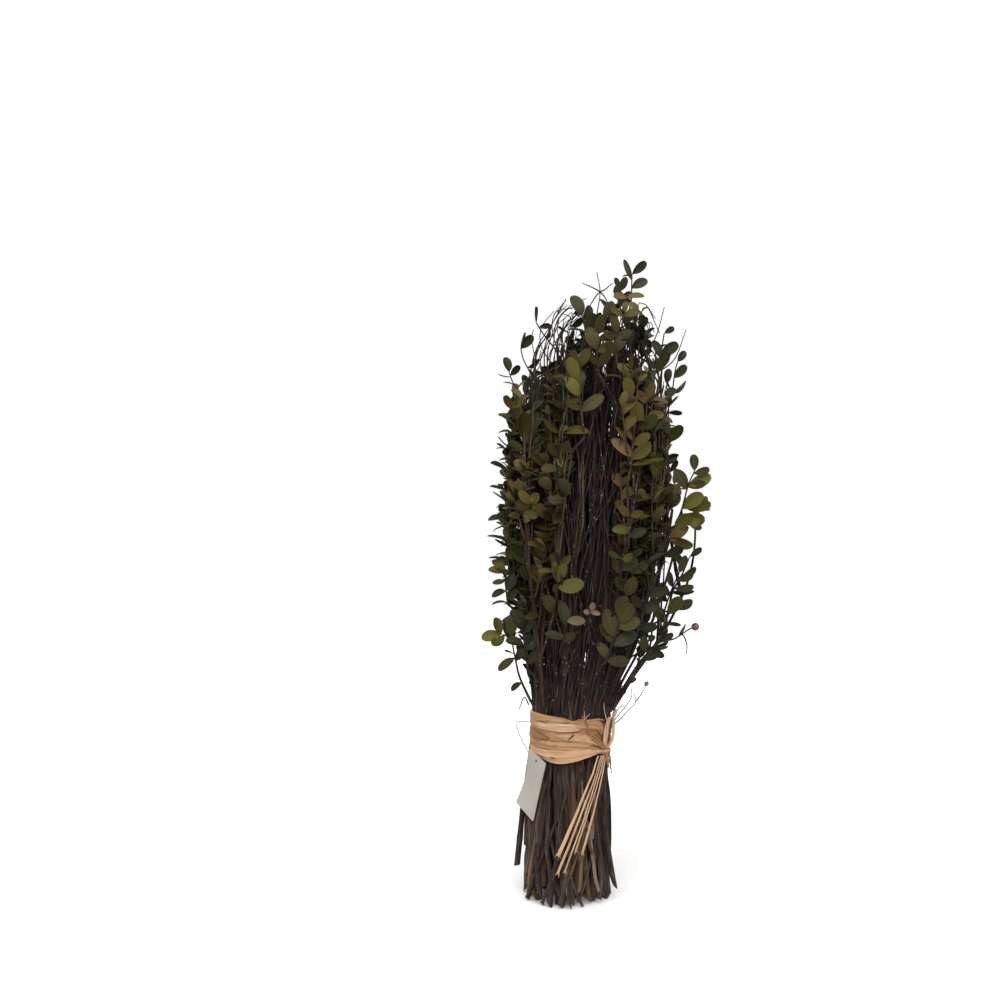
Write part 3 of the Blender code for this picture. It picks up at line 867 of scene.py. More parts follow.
def side_limbs(limbs, rng):
    """Thinner limbs that fork from some of the branches below the band and pass through it beside them."""
    forked = []
    for number, limb in enumerate(limbs):
        outer = np.linalg.norm(limb.course[0]) > OUTER_FOOT
        for _ in range(rng.choice((1, 2, 2)) if outer else 1):
            fork = rng.uniform(*SIDE_LIMB_FORK)
            x, y = limb.course[0]
            sideways = math.atan2(y, x) + rng.choice((-1.0, 1.0)) * math.pi / 2
            away = rng.gauss(sideways, 0.5) if outer else any_turn(rng)
            reach = rng.uniform(*SIDE_LIMB_REACH) * ramp(HEIGHTS, fork, max(fork + 0.040, 0.110))
            shift = np.array((math.cos(away), math.sin(away)))
            course = gathered(limb.course + reach[:, None] * shift)
            thinner = np.interp(HEIGHTS, (fork, GATHERED_BY, STEM_TOP), (1.0, 0.9, 0.5))
            forked.append(Limb(limb.node, course, rng.uniform(*SIDE_LIMB_RADIUS) * thinner, fork, number))
    return forked


def gathered(course):
    """A course drawn in where it would leave the bundle."""
    middle = centre(HEIGHTS)
    off = course - middle
    reach = np.linalg.norm(off, axis=1)
    return middle + off * np.minimum(1.0, 0.92 * smooth_row(GIRTH, HEIGHTS) / reach)[:, None]


def settle(limbs):
    """Pushes limbs apart until they touch without cutting each other, and holds them in the band."""
    place = np.stack([limb.course for limb in limbs])
    aim = place.copy()
    radius = np.stack([limb.radius for limb in limbs])
    there = np.stack([HEIGHTS > limb.foot - 0.004 for limb in limbs])
    near = (radius[:, None] + radius[None]) * there[:, None] * there[None] * 1.02
    for number, limb in enumerate(limbs):
        near[number, number] = 0.0
        if limb.parent is not None and limb.foot > FORKS_ABOVE:
            near[number, limb.parent] *= ramp(HEIGHTS, limb.foot, limb.foot + 0.035)
            near[limb.parent, number] = near[number, limb.parent]
    hold = SETTLE_HOLD + 0.10 * ramp(HEIGHTS, 0.150, 0.200)[None, :, None]
    middle = centre(HEIGHTS)
    low = 1.0 - ramp(HEIGHTS, 0.0, SPREAD_FROM)
    room = smooth_row(GIRTH, HEIGHTS) - 0.0002 + 0.0035 * low
    drawn_in = 0.0055 * low
    for _ in range(SETTLE_ROUNDS):
        gap = place[:, None] - place[None]
        distance = np.sqrt((gap ** 2).sum(axis=-1)) + 1e-9
        push = np.clip(near - distance, 0.0, None) / distance * SETTLE_PUSH
        place += (push[..., None] * gap).sum(axis=1)
        place[:, 1:-1] += SETTLE_STRAIGHTEN * (place[:, 2:] + place[:, :-2] - 2.0 * place[:, 1:-1])
        place += hold * (aim - place)
        off = place - middle
        reach = np.sqrt((off ** 2).sum(axis=-1)) + 1e-9
        keep = np.minimum(1.0, (room - drawn_in * (off[..., 0] / reach) ** 2 - radius) / reach)
        keep = np.where(HEIGHTS < 0.150, keep, 1.0)
        place = middle + off * keep[..., None]
    for number, limb in enumerate(limbs):
        limb.course = place[number]


def limb_rows(limb):
    """Points and radii down a settled limb, closer together where it shows most."""
    z = np.concatenate((np.arange(limb.foot, 0.160, 0.0025), np.arange(0.160, STEM_TOP, 0.006)))
    path = np.column_stack((read_off(z, HEIGHTS, limb.course.T), z))
    kernel = np.array((0.25, 0.5, 0.25))
    for _ in range(3):
        for axis in (0, 1):
            path[1:-1, axis] = np.convolve(path[:, axis], kernel, "valid")
    return path, np.interp(z, HEIGHTS, limb.radius)


# A stem's ridges: how many round it, and how high. Its swollen nodes: how far apart, how much thicker and
# how high. And how steeply its foot may be sawn
RIDGES = ((2, 0.06), (3, 0.05), (4, 0.04))
NODE_SPACING = (0.018, 0.034)
NODE_SWELLING = 0.30
NODE_HEIGHT = 0.0028
SAWN_SLOPES = (0.2, 0.6, 1.0, 1.4)
# The outer limbs with a bark colour of their own: from and to which azimuth, place on the ramp, brightness
LIMB_COLOURS = ((-64.0, -50.0, 0.56, 0.95), (30.0, 42.0, 1.0, 1.0))


def stem_tint(limb, rng):
    """Place on the ramp and brightness of a limb's bark: golden at the front left, pale at the right."""
    x, y = limb.course[3]
    azimuth = math.degrees(math.atan2(x, -y))
    if np.linalg.norm(limb.course[3]) > COLOURED_FOOT:
        for start, end, shade, bright in LIMB_COLOURS:
            if start < azimuth < end:
                return shade, bright, rng.random()
        if -5.0 < azimuth < 40.0:
            return rng.uniform(0.42, 0.58), 0.85, rng.random()
    return rng.choice((0.0, 0.05, 0.1, 0.15, 0.2, 0.3, 0.38)), rng.uniform(0.75, 1.3), rng.random()


def add_stem(shape, path, radii, tint, rng, sides=STEM_SIDES):
    """A woody stem of level rings, with ridges, swollen nodes and a slanting sawn foot."""
    rows = len(path)
    z = path[:, 2]
    # Painted light: the stems' feet are painted up to a third brighter, and above the band the wood is
    # painted darker as shade
    painted_foot_light = 1.32 - 0.32 * ramp(z, 0.015, 0.070)
    turns, tints, grain = round_rows(z, sides, tint, painted_foot_light * low_shade(z))
    tints[..., 0] *= (1.0 - 0.75 * ramp(z, SPREAD_FROM, 0.150))[:, None]
    swell = np.ones((rows, sides))
    for ridges, size in RIDGES:
        phase, twist = any_turn(rng), rng.uniform(-25.0, 25.0)
        swell += size * np.sin(ridges * turns[None] + phase + twist * z[:, None])
    node = z[0] + rng.uniform(0.012, 0.035)
    while node < z[-1]:
        side = 0.5 + 0.5 * np.cos(turns - any_turn(rng))
        swell += NODE_SWELLING * np.exp(-((z - node) / NODE_HEIGHT) ** 2)[:, None] * side[None] ** 2
        node += rng.uniform(*NODE_SPACING)
    reach = radii[:, None] * swell
    slope = rng.choice(SAWN_SLOPES)
    slant = slope * radii[0] * (1.0 + np.cos(turns - any_turn(rng)))
    points = np.empty((rows, sides, 3))
    points[..., 0] = path[:, 0, None] + reach * np.cos(turns)
    points[..., 1] = path[:, 1, None] + reach * np.sin(turns)
    points[..., 2] = z[:, None] + slant[None] * np.exp(-(z - z[0]) / 0.010)[:, None]
    here = np.arange(sides)
    top = (here + (rows - 1) * sides)[None]
    shape.add(points, [tube_faces(rows, sides), top], tints.reshape(-1, 3), grain)
    rim = points[0]
    middle = rim.mean(axis=0)
    foot = np.concatenate([rim, middle + (rim - middle) * 0.5, middle[None]])
    beside = (here + 1) % sides
    faces = [np.stack((beside, here, here + sides, beside + sides), axis=1),
             np.stack((beside + sides, here + sides, np.full(sides, 2 * sides)), axis=1)]
    share = np.concatenate((np.ones(sides), np.full(sides, 0.5), [0.0]))
    shape.add(foot, faces, tint, np.stack((share, share, share), axis=1), CUT_WOOD)


def nearness(stem, point):
    """How far a point is from a stem, measured below its own height."""
    z = min(point[2], STEM_TOP)
    rows = stem[(stem[:, 2] > z - 0.060) & (stem[:, 2] < z + 0.001)]
    return np.linalg.norm(rows[:, :2] - point[:2], axis=1).min() if len(rows) else 1.0


def nearest(stems, point):
    """The branch whose stem is nearest to a point."""
    return min(stems, key=lambda name: nearness(stems[name], point))


CROSSING_STEMS = 40
CROSSING_RADIUS = (0.0015, 0.0026)
CROSSING_FEET = (0.0, 0.0, 0.0025, 0.0060, 0.0120, 0.0350, 0.0500)
# By how many degrees they slant, and the share of them that forks
CROSSING_SLANT = (12.0, 40.0)
CROSSING_FORKED = 0.5
# The height at which the crossing stems end under the band
CROSSING_TOP = 0.122
# The crossing stems whose bark is golden or pale, with their place on the ramp of bark colours
PALE_STEMS = {2: 0.60, 3: 1.0, 4: 0.80, 34: 0.62}


def add_crossing_stems(shapes, paths, rng):
    """Stems that slant over the outer ones below the band. Some are forks without a foot of their own."""
    for number in range(CROSSING_STEMS):
        azimuth = 360.0 * number / CROSSING_STEMS + rng.uniform(-6.0, 6.0)
        foot = rng.choice(CROSSING_FEET)
        way = -1.0 if number % 2 else 1.0
        z = np.linspace(foot, CROSSING_TOP, 46)
        share = ramp(z, 0.0, 0.112)
        thick = rng.uniform(*CROSSING_RADIUS)
        slant = way * rng.uniform(*CROSSING_SLANT) * (share - 0.5)
        turn = azimuth + slant + rng.uniform(-5.0, 5.0) * np.sin(3.0 * share)
        by_tag = np.exp(-((turn - TAG_AZIMUTH) / 28.0) ** 2) * ramp(z, 0.030, 0.055)
        to_side = np.sin(np.radians(turn)) ** 2
        spread = smooth_row(GIRTH, z) + 0.0032 * (1.0 - ramp(z, 0.0, SPREAD_FROM)) - 0.0004
        spread = spread - 0.0065 * to_side - 0.0036 * by_tag
        radii = thick * np.interp(z, (0.0, 0.030, 0.110), (1.0, 0.80, 0.62))
        course = around(turn, spread - 0.0042 * ramp(z, 0.080, 0.112), z) + wander(z, rng, 0.0005, 0.05)
        shape = shapes[nearest(paths, course[-1])]
        right = 0.32 if 0.0 < azimuth < 45.0 else 0.0
        tint = (right + rng.choice((0.0, 0.0, 0.05, 0.1, 0.2)), rng.uniform(0.8, 1.35), rng.random())
        if number in PALE_STEMS:
            tint = (PALE_STEMS[number], 1.3, tint[2])
        add_stem(shape, course, radii, tint, rng)
        if rng.random() < CROSSING_FORKED:
            fork = rng.randint(14, 30)
            low = z[:fork]
            beside = turn[:fork] - way * rng.uniform(0.25, 0.55) * 1000.0 * (z[fork] - low)
            course = np.concatenate((around(beside, spread[:fork] - 0.0010, low), course[fork:fork + 2]))
            add_stem(shape, course, radii[:fork + 2] * 0.75, tint, rng)


# Stems that stand away from the others below the band: radius of the foot, and X, Y and Z from it up
STRAYS = metres((
    (28, ((352, -200, 95), (330, -220, 230), (300, -230, 420), (275, -220, 600), (272, -180, 770),
         (280, -140, 950), (260, -100, 1180))),
    (26, ((-388, 20, 200), (-362, 30, 450), (-335, 20, 700), (-270, 0, 1180))),
    (11, ((318, -120, 260), (328, -120, 450), (324, -120, 750), (300, -120, 950), (262, -100, 1180))),
))


def add_strays(shapes, paths, rng):
    for thick, route in STRAYS:
        path = smooth_path(route, 40)
        radii = np.linspace(thick, 0.7 * thick, 40)
        add_stem(shapes[nearest(paths, np.array(route[-1]))], path, radii, (0.05, 0.8, rng.random()), rng)


def slanting(rng, lowest, highest):
    """A direction to any side that climbs by a ratio between the two given."""
    turn = any_turn(rng)
    return unit(np.array((math.cos(turn), math.sin(turn), rng.uniform(lowest, highest))))


def add_stub(shape, path, radii, tint, rng):
    """The short remnant of a side twig that was cut or broken off."""
    row = rng.randrange(3, 50)
    if path[row][2] > 0.100:
        return
    way = slanting(rng, 0.7, 1.8)
    length = radii[row] + rng.uniform(0.002, 0.006)
    thick = radii[row] * rng.uniform(0.3, 0.5)
    course = path[row] + way * np.linspace(0.0, length, 4)[:, None]
    add_tube(shape, course, [thick * 1.3, thick, thick * 0.9, thick * 0.7], tint)


def add_limb(shape, limb, rng):
    path, radii = limb_rows(limb)
    tint = stem_tint(limb, rng)
    seen = np.linalg.norm(path[0, :2]) > SEEN_FOOT
    add_stem(shape, path, radii, tint, rng, STEM_SIDES if seen else HIDDEN_STEM_SIDES)
    add_stub(shape, path, radii, tint, rng)
    return path


# ---------------------------------------------------------------- twigs

# Between which heights the twigs leave their limbs and end, their radius at the foot and the tip, how far
# their side twigs reach, and the radius of the finest tips
TWIG_FOOT = (0.135, 0.240)
TWIG_TOP = (0.335, 0.455)
TWIG_RADIUS = (0.0009, 0.0016)
TWIG_TIP = 0.00045
SIDE_TWIG_REACH = (0.015, 0.055)
FINE_TIP = 0.0003
# The height at which twigs and leaves come out of the band
OUT_OF_BAND = 0.138
# The twigs that slant over the front: how many, where those that start above the band do so, how far they
# rise, how many degrees to either side of the front they stand at most, and by how many they slant
CROSSING_TWIGS = 90
CROSSING_TWIG_FOOT = (0.150, 0.300)
CROSSING_TWIG_RISE = (0.060, 0.150)
CROSSING_TWIG_SPREAD = 75.0
CROSSING_TWIG_SLANT = (4.0, 26.0)
# The twigs in the middle: how many, between which heights they start and end, and X and Y of their feet
INNER_TWIGS = 46
INNER_TWIG_FOOT = (0.270, 0.320)
INNER_TWIG_TOP = (0.400, 0.436)
INNER_TWIG_X = (-0.008, 0.046)
INNER_TWIG_Y = (-0.040, 0.030)


def twig_tint(rng):
    return rng.uniform(0.0, 0.95) ** 2.2, rng.uniform(0.55, 1.15), rng.random()


def knotty(radii, swelling):
    """Radii down a twig, with a swollen node at every third one."""
    return radii * np.where(np.arange(len(radii)) % 3 == 0, swelling, 1.0)


def add_twig(shape, start, spot, top, base, rng):
    """A fine bare twig that leaves its limb, rises to its own place in the section and forks again."""
    z = np.linspace(start[2], top, 26)
    share = (ramp(z, start[2], start[2] + 0.09) ** 0.8)[:, None]
    course = from_section(section_place(start)[None] * (1.0 - share) + spot[None] * share, z)
    course += wander(z, rng, 0.0020, 0.15) * ramp(z, start[2], start[2] + 0.10)[:, None]
    course = trimmed(course, 12, 0.016)
    tint = twig_tint(rng)
    add_tube(shape, course, knotty(np.linspace(base, TWIG_TIP, len(course)), 1.25), tint, 5, TWIG_BARK)
    for _ in range(rng.randint(0, 3)):
        at = course[rng.randint(8, len(course) - 2)]
        way = slanting(rng, 1.4, 4.0)
        reach = rng.uniform(*SIDE_TWIG_REACH)
        if beyond_outline(at + way * reach * 1.2, 0.006):
            continue
        bend = np.linspace(0.0, 1.0, 7)[:, None]
        add_twiglet(shape, at + way * reach * bend + UP * 0.25 * reach * bend ** 2, 0.00075, FINE_TIP, tint)


def add_twigs(shape, path, count, rng):
    """The fine twigs that a limb forks into above the band."""
    place = section_place(path[-1])
    for _ in range(count):
        start = path[np.searchsorted(path[:, 2], rng.uniform(*TWIG_FOOT))]
        spot = place + np.array((rng.gauss(0.0, 0.24), rng.gauss(0.0, 0.24)))
        spot /= max(1.0, np.linalg.norm(spot) / 0.97)
        top = rng.uniform(*TWIG_TOP)
        add_twig(shape, start, spot, top, rng.uniform(*TWIG_RADIUS), rng)


def add_crossing_twigs(shapes, paths, rng):
    """Fine twigs on the front of the bundle, which slant across the others as they rise."""
    for _ in range(CROSSING_TWIGS):
        low = rng.choice((OUT_OF_BAND, OUT_OF_BAND, rng.uniform(*CROSSING_TWIG_FOOT)))
        z = np.linspace(low, min(0.400, low + rng.uniform(*CROSSING_TWIG_RISE)), 18)
        share = np.linspace(0.0, 1.0, 18)
        azimuth = rng.uniform(-CROSSING_TWIG_SPREAD, CROSSING_TWIG_SPREAD) * (1.0 - 0.5 * ramp(low, 0.2, 0.3))
        azimuth = azimuth + rng.choice((-1.0, 1.0)) * rng.uniform(*CROSSING_TWIG_SLANT) * share
        reach = smooth_row(GIRTH, z) * (rng.uniform(0.92, 1.0) - 0.04 * (2.0 * share - 1.0) ** 4)
        course = around(azimuth, reach, z) + wander(z, rng, 0.0008, 0.10)
        radii = knotty(np.linspace(rng.uniform(0.0006, 0.0011), FINE_TIP, 18), 1.3)
        add_tube(shapes[nearest(paths, course[0])], course, radii, twig_tint(rng), 5, TWIG_BARK)


def add_inner_twigs(shapes, paths, rng):
    """Fine twigs that fill the middle of the bundle behind the gap, up to where the leaves close it."""
    for _ in range(INNER_TWIGS):
        z = np.linspace(rng.uniform(*INNER_TWIG_FOOT), rng.uniform(*INNER_TWIG_TOP), 16)
        foot = np.array((rng.uniform(*INNER_TWIG_X), rng.uniform(*INNER_TWIG_Y), 0.0))
        course = foot + UP * z[:, None] + wander(z, rng, 0.0030, 0.12)
        add_twiglet(shapes[nearest(paths, course[0])], course, 0.0011, 0.0004, twig_tint(rng))


# A bud, and a hanging twig beside it, at the right: X and Z, the bud's radius, and how far they stand off
BUD = (0.0975, 0.2092, 0.0030)
BUD_STAND = 0.020
HANGING_TWIG = ((0.0870, 0.2035), (0.0893, 0.2010), (0.0913, 0.1944), (0.0908, 0.1880))


def add_bud(shape, rng):
    x, z, radius = BUD
    middle = spray_point(x, z, BUD_STAND)
    share = np.linspace(-1.0, 1.0, 9)
    course = middle + share[:, None] * radius * unit(np.array((0.75, 0.0, 0.55)))
    radii = radius * (0.05 + np.sqrt(1.0 - 0.98 * share ** 2)) * 0.95
    add_tube(shape, course, radii, (0.62, 2.1, rng.random()), 9, TWIG_BARK)
    twig = smooth_path([spray_point(*point, BUD_STAND) for point in HANGING_TWIG], 12)
    add_twiglet(shape, twig, 0.0006, FINE_TIP, (0.2, 0.9, rng.random()))


# Arcs of bare twig over the top, each drawn a few times a little apart: X and Z of each point
ARCS = metres((
    ((-250, 4000), (-230, 4200), (-170, 4340), (-100, 4480), (-30, 4580)),
    ((-210, 4020), (-205, 4230), (-150, 4370), (-65, 4500), (30, 4540), (80, 4520)),
    ((-130, 4020), (-130, 4230), (-80, 4360), (-50, 4450), (-10, 4510)),
    ((-60, 4050), (-60, 4300), (-10, 4410), (60, 4500), (110, 4490)),
    ((0, 4080), (-10, 4310), (30, 4420), (100, 4470)),
    ((480, 4300), (530, 4520), (600, 4520), (650, 4430), (670, 4340)),
    ((500, 4250), (560, 4450), (610, 4360)),
    ((-320, 3900), (-290, 4050), (-280, 4140), (-230, 4210)),
))
ARC_COPIES = 3
# Between which depths the copies lie, and how much the copies and their points vary
ARC_DEPTH = (-0.032, 0.010)
ARC_SHIFT = 0.0022
ARC_POINT_SHIFT = (0.0016, 0.0012)


def add_arcs(shapes, paths, rng):
    for route in ARCS:
        for _ in range(ARC_COPIES):
            depth = rng.uniform(*ARC_DEPTH)
            aside, higher = rng.gauss(0.0, ARC_SHIFT), rng.gauss(0.0, ARC_SHIFT)
            below = (route[0][0] * 0.85 + 0.004, depth * 0.8, route[0][1] - 0.045)
            points = [below]
            for x, z in route:
                off_x, off_z = (rng.gauss(0.0, shift) for shift in ARC_POINT_SHIFT)
                points.append((x + aside + off_x, depth, z + higher + off_z))
            shape = shapes[nearest(paths, np.array(below))]
            add_twiglet(shape, smooth_path(points, 22), 0.0008, FINE_TIP, (0.1, 0.9, rng.random()))


# Bare tips that stand free of the leaves: X, distance from the bundle's middle plane and Z of each point
BARE_TIPS = metres((
    ((60, -200, 4000), (-100, -240, 4250), (-120, -260, 4440), (-20, -260, 4570)),
    ((40, -120, 3950), (-180, -160, 4180), (-210, -180, 4360), (-110, -180, 4500)),
    ((0, -300, 3920), (-60, -340, 4250), (0, -360, 4410), (120, -360, 4460)),
    ((20, -260, 3900), (-220, -320, 4080), (-280, -340, 4240), (-270, -340, 4340)),
    ((180, -200, 4200), (210, -240, 4450), (235, -260, 4630), (210, -260, 4780)),
    ((235, -260, 4635), (270, -260, 4650), (330, -260, 4700)),
    ((235, -260, 4635), (190, -260, 4660), (100, -260, 4700)),
    ((235, -260, 4635), (270, -280, 4590), (310, -300, 4500)),
    ((235, -260, 4635), (190, -280, 4580), (120, -300, 4460)),
    ((560, -200, 4100), (660, -240, 4300), (720, -260, 4520)),
    ((600, -100, 4000), (800, -140, 4120), (900, -160, 4360)),
    ((440, -240, 4250), (600, -280, 4400), (640, -300, 4320)),
    ((460, -180, 4300), (580, -200, 4520), (660, -200, 4440)),
    ((-300, -200, 1500), (-335, -210, 1560), (-375, -210, 1465)),
    ((120, -520, 2820), (240, -530, 3000), (370, -510, 3210)),
    ((40, -500, 2620), (140, -530, 2900), (200, -520, 3180)),
    ((340, -500, 2520), (260, -530, 2850), (240, -520, 3120)),
    ((100, -460, 2050), (190, -480, 2280), (240, -500, 2580)),
    ((260, -440, 1880), (160, -470, 2140), (100, -490, 2460)),
    ((-40, -400, 1660), (-10, -430, 1840), (80, -450, 2060)),
))


def add_bare_tips(shapes, paths, rng):
    for route in BARE_TIPS:
        shape = shapes[nearest(paths, np.array(route[0]))]
        add_twiglet(shape, smooth_path(route, 16), 0.0006, FINE_TIP, (0.3, 1.0, rng.random()))


# ---------------------------------------------------------------- leaves

# A leaf's half width along it, as a share of its widest
LEAF_PLACES = (0.0, 0.05, 0.12, 0.23, 0.36, 0.50, 0.64, 0.77, 0.88, 0.96, 1.0)
LEAF_WIDTHS = (0.07, 0.15, 0.36, 0.65, 0.87, 0.98, 1.0, 0.91, 0.72, 0.46, 0.18)


class LeafGrid:
    """The rows and columns of points that a leaf is made of."""

    def __init__(self, rows, columns):
        self.rows, self.columns = np.array(rows)[:, None], np.array(columns)[None]
        self.outline = np.interp(self.rows, LEAF_PLACES, LEAF_WIDTHS)
        midrib = self.columns == 0.0
        self.notch = 0.02 * (self.rows > 0.99) * midrib
        self.thickness = 0.00022 + 0.00012 * midrib + 0.0 * self.rows


SPRIG_LEAF = LeafGrid(LEAF_PLACES, (-1.0, -0.55, 0.0, 0.55, 1.0))
SHOOT_LEAF = LeafGrid((0.0, 0.06, 0.16, 0.30, 0.46, 0.64, 0.80, 0.92, 1.0), (-1.0, 0.0, 1.0))

# Where the leaves have a colour of their own at the front: X, Z, radius, and their place on the ramp
PATCHES = (
    (0.046, 0.366, 0.018, 0.86), (0.048, 0.300, 0.012, 0.84), (-0.042, 0.382, 0.015, 0.86),
    (-0.030, 0.304, 0.016, 0.78), (0.100, 0.306, 0.022, 0.62), (0.078, 0.282, 0.014, 0.90),
    (-0.052, 0.255, 0.012, 0.74), (0.042, 0.452, 0.014, 0.84), (-0.018, 0.262, 0.013, 0.84),
    (0.000, 0.330, 0.014, 0.66), (-0.045, 0.330, 0.014, 0.30), (0.012, 0.300, 0.018, 0.12),
)
# The other shoots: up to which pick, from and to which place on the ramp, brightness
SHOOT_COLOURS = (
    (0.30, 0.0, 0.18, 0.85), (0.82, 0.2, 0.48, 0.9), (0.92, 0.5, 0.62, 0.85), (1.0, 0.76, 0.98, 0.75),
)
# The gap between the leaves at the front, where the bare twigs show: height, its left and its right edge
GAP = metres((
    (1500, -600, 600), (1850, -260, 340), (2150, -100, 300), (2410, -40, 300), (2750, -100, 300),
    (3350, 0, 350), (3750, 120, 360), (4020, 260, 300),
))
GAP_DEPTH = -0.010
# Where light shows through beside the leaves at the right: X, Z, half width and half height, in the plane
# at SIGHT_PLANE
WINDOWS = metres((
    (700, 3910, 35, 60), (590, 3880, 20, 40), (640, 4100, 25, 50), (690, 4020, 20, 30), (620, 3740, 20, 30),
    (540, 3220, 20, 40), (690, 3235, 15, 15), (765, 3220, 18, 18), (800, 2955, 16, 50), (829, 2545, 55, 50),
    (730, 2475, 30, 50), (715, 2330, 35, 60), (660, 2390, 30, 40), (650, 2260, 30, 30),
))
SIGHT_PLANE = -0.020
# Into how many steps a sprig's stalk is divided
STALK_STEPS = 40
# Branches that lean out further than this aren't held within the outline
LEANS_OUT = 0.040
# The way that the upper side of a sprig's leaf faces before its roll
SPRIG_FACE = np.array((0.0, -0.93, 0.37))
# How far apart the shoots stand up a branch, how long they are, how far they lean to the side and stand out,
# and by how many degrees their leaves open
SHOOT_SPACING = 0.0120
SHOOT_LENGTH = (0.045, 0.105)
SHORTEST_SHOOT = 0.014
SHOOT_SPREAD = (0.004, 0.019)
SHOOT_STAND = (-0.003, 0.011)
SHOOT_OPENING = (42.0, 62.0)
SHOOT_TIP = 0.00045
CROWN_SHOOTS = 44
CROWN_TOP = (0.395, 0.480)
# How far apart the pairs of leaves stand up a shoot, and the share of leaves that is missing. Then a leaf's
# length, its half width as a share of that, its fold along the midrib, its arch, and how its twist varies
LEAF_PAIR_SPACING = 0.0088
LEAF_MISSING = 0.06
LEAF_LENGTH = (0.0125, 0.0165)
LEAF_HALF_WIDTH = (0.22, 0.29)
LEAF_FOLD = (0.10, 0.75)
LEAF_ARCH = (-0.35, 0.55)
LEAF_TWIST = 0.35


def inner_shade(point):
    """Painted shade: how bright the leaves at a point are, those deep in the bundle painted darker."""
    depth = np.linalg.norm(section_place(point))
    return 0.5 + 0.5 * ramp(depth, 0.85, 1.25)


def spray_point(x, z, stand):
    """The point at X and Z on the front of the foliage, or at its side where X lies beyond it."""
    reach = smooth_row(GIRTH, z) + stand * ramp(z, OUT_OF_BAND, 0.190)
    aside = min(0.97, max(-0.97, (x - smooth_row(LEAN, z)) / reach))
    return np.array((x, -reach * math.sqrt(1.0 - aside ** 2), z))


def sprig_path(spec):
    """The course of a sprig's stalk. One that stands far off the branches starts near them and leans out."""
    _, stand, route, _ = spec
    stands = np.linspace(0.35 if stand > 0.025 else 1.0, 1.0, len(route)) * stand
    return smooth_path([spray_point(x, z, stand) for (x, z), stand in zip(route, stands)], STALK_STEPS + 1)


def leaf_way(turn, lean):
    """The direction of a sprig's leaf, from its turn from upright and its lean towards the front."""
    turn, lean = math.radians(turn), math.radians(lean)
    return np.array((math.sin(turn) * math.cos(lean), -math.sin(lean), math.cos(turn) * math.cos(lean)))


@functools.cache
def leaf_spots():
    """The middle of each leaf of the sprigs, and the radius round it that no other leaf hides."""
    spots = []
    for spec in SPRIGS:
        path = sprig_path(spec)
        for share, turn, lean, _, length, _, _ in spec[3]:
            middle = path[round(STALK_STEPS * share)] + leaf_way(turn, lean) * length * 0.55
            spots.append((*middle, 0.46 * length))
    return np.array(spots).T


def hides_sprig(point):
    """Whether a leaf with its middle at a point stands in front of a leaf of the sprigs."""
    x, y, z, radius = leaf_spots()
    near = (x - point[0]) ** 2 + (z - point[2]) ** 2 < radius ** 2
    return bool((near & (point[1] < y + 0.003)).any())


def in_gap(point):
    """Whether a point is in the gap at the front."""
    if point[1] > GAP_DEPTH or not GAP[0][0] <= point[2] <= GAP[-1][0]:
        return False
    heights, left, right = zip(*GAP)
    return np.interp(point[2], heights, left) < point[0] < np.interp(point[2], heights, right)


def shuts_window(points):
    """Whether any of a leaf's points stands in a sight line through one of the windows."""
    eye = np.array(CAMERA_PLACE)
    points = points.reshape(-1, 3)
    seen = eye + (points - eye) * ((SIGHT_PLANE - eye[1]) / (points[:, 1] - eye[1]))[:, None]
    x, z, wide, high = np.array(WINDOWS).T
    return bool((((seen[:, :1] - x) / wide) ** 2 + ((seen[:, 2:] - z) / high) ** 2 < 1.0).any())


def shoot_tint(point, rng):
    """Place on the leaves' ramp and brightness of one shoot."""
    for x, z, radius, shade in PATCHES:
        if point[1] < 0.02 and (point[0] - x) ** 2 + (point[2] - z) ** 2 < radius ** 2:
            return shade + rng.gauss(0.0, 0.03), 1.05
    pick = rng.random()
    for up_to, low, high, bright in SHOOT_COLOURS:
        if pick < up_to:
            return rng.uniform(low, high), bright


def add_leaf(shape, base, along, face, length, tint, rng, grid=SPRIG_LEAF):
    """A boxwood leaf: widest past its middle, folded a little along its midrib, with a blunt notched tip."""
    along = unit(along)
    face = square_to(face, along)
    across = np.cross(along, face)
    rows = grid.rows
    half = length * rng.uniform(*LEAF_HALF_WIDTH) * grid.outline
    side = grid.columns * half
    fold, arch, twist = rng.uniform(*LEAF_FOLD), rng.uniform(*LEAF_ARCH), rng.gauss(0.0, LEAF_TWIST)
    lift = fold * np.abs(side) - 0.35 * fold * side ** 2 / (0.28 * length)
    lift = lift + side * np.tan(np.clip(twist * rows, -0.6, 0.6)) - arch * length * rows ** 2
    ahead = length * (rows - 0.35 * arch ** 2 * rows ** 2 - grid.notch)
    upper = base + across * side[..., None] + along * ahead[..., None] + face * lift[..., None]
    if grid is SHOOT_LEAF and shuts_window(upper):
        return
    lower = upper - face * grid.thickness[..., None]
    grain = np.zeros((2, *side.shape, 3))
    grain[..., 0] = grid.columns
    grain[..., 1] = rows
    grain[1, ..., 2] = 1.0
    shape.add(np.stack((upper, lower)), [sheet_faces(*side.shape)], tint, grain, LEAF)


def add_pair(shape, base, ahead, sideways, out, length, opening, tint, rng):
    """Two leaves opposite each other on a shoot, their upper sides turned up the shoot and outwards."""
    for way in (sideways, -sideways):
        angle = math.radians(opening + rng.uniform(-13.0, 13.0))
        along = unit(ahead * math.cos(angle) + way * math.sin(angle) + out * 0.08)
        face = ahead * math.sin(angle) - way * math.cos(angle) + out * rng.uniform(0.0, 0.6)
        size = length * rng.uniform(0.82, 1.14)
        middle = base + along * size * 0.5
        if in_gap(middle) or hides_sprig(middle) or rng.random() < LEAF_MISSING:
            continue
        if beyond_outline(base + along * size, rng.uniform(-0.003, 0.002)):
            continue
        shade = min(1.0, max(0.0, tint[0] + rng.gauss(0.0, 0.05)))
        # The brightness includes painted shade that darkens the leaves deep in the bundle
        bright = tint[1] * rng.uniform(0.7, 1.35) * inner_shade(base)
        add_leaf(shape, base, along, face, size, (shade, bright, rng.random()), rng, SHOOT_LEAF)


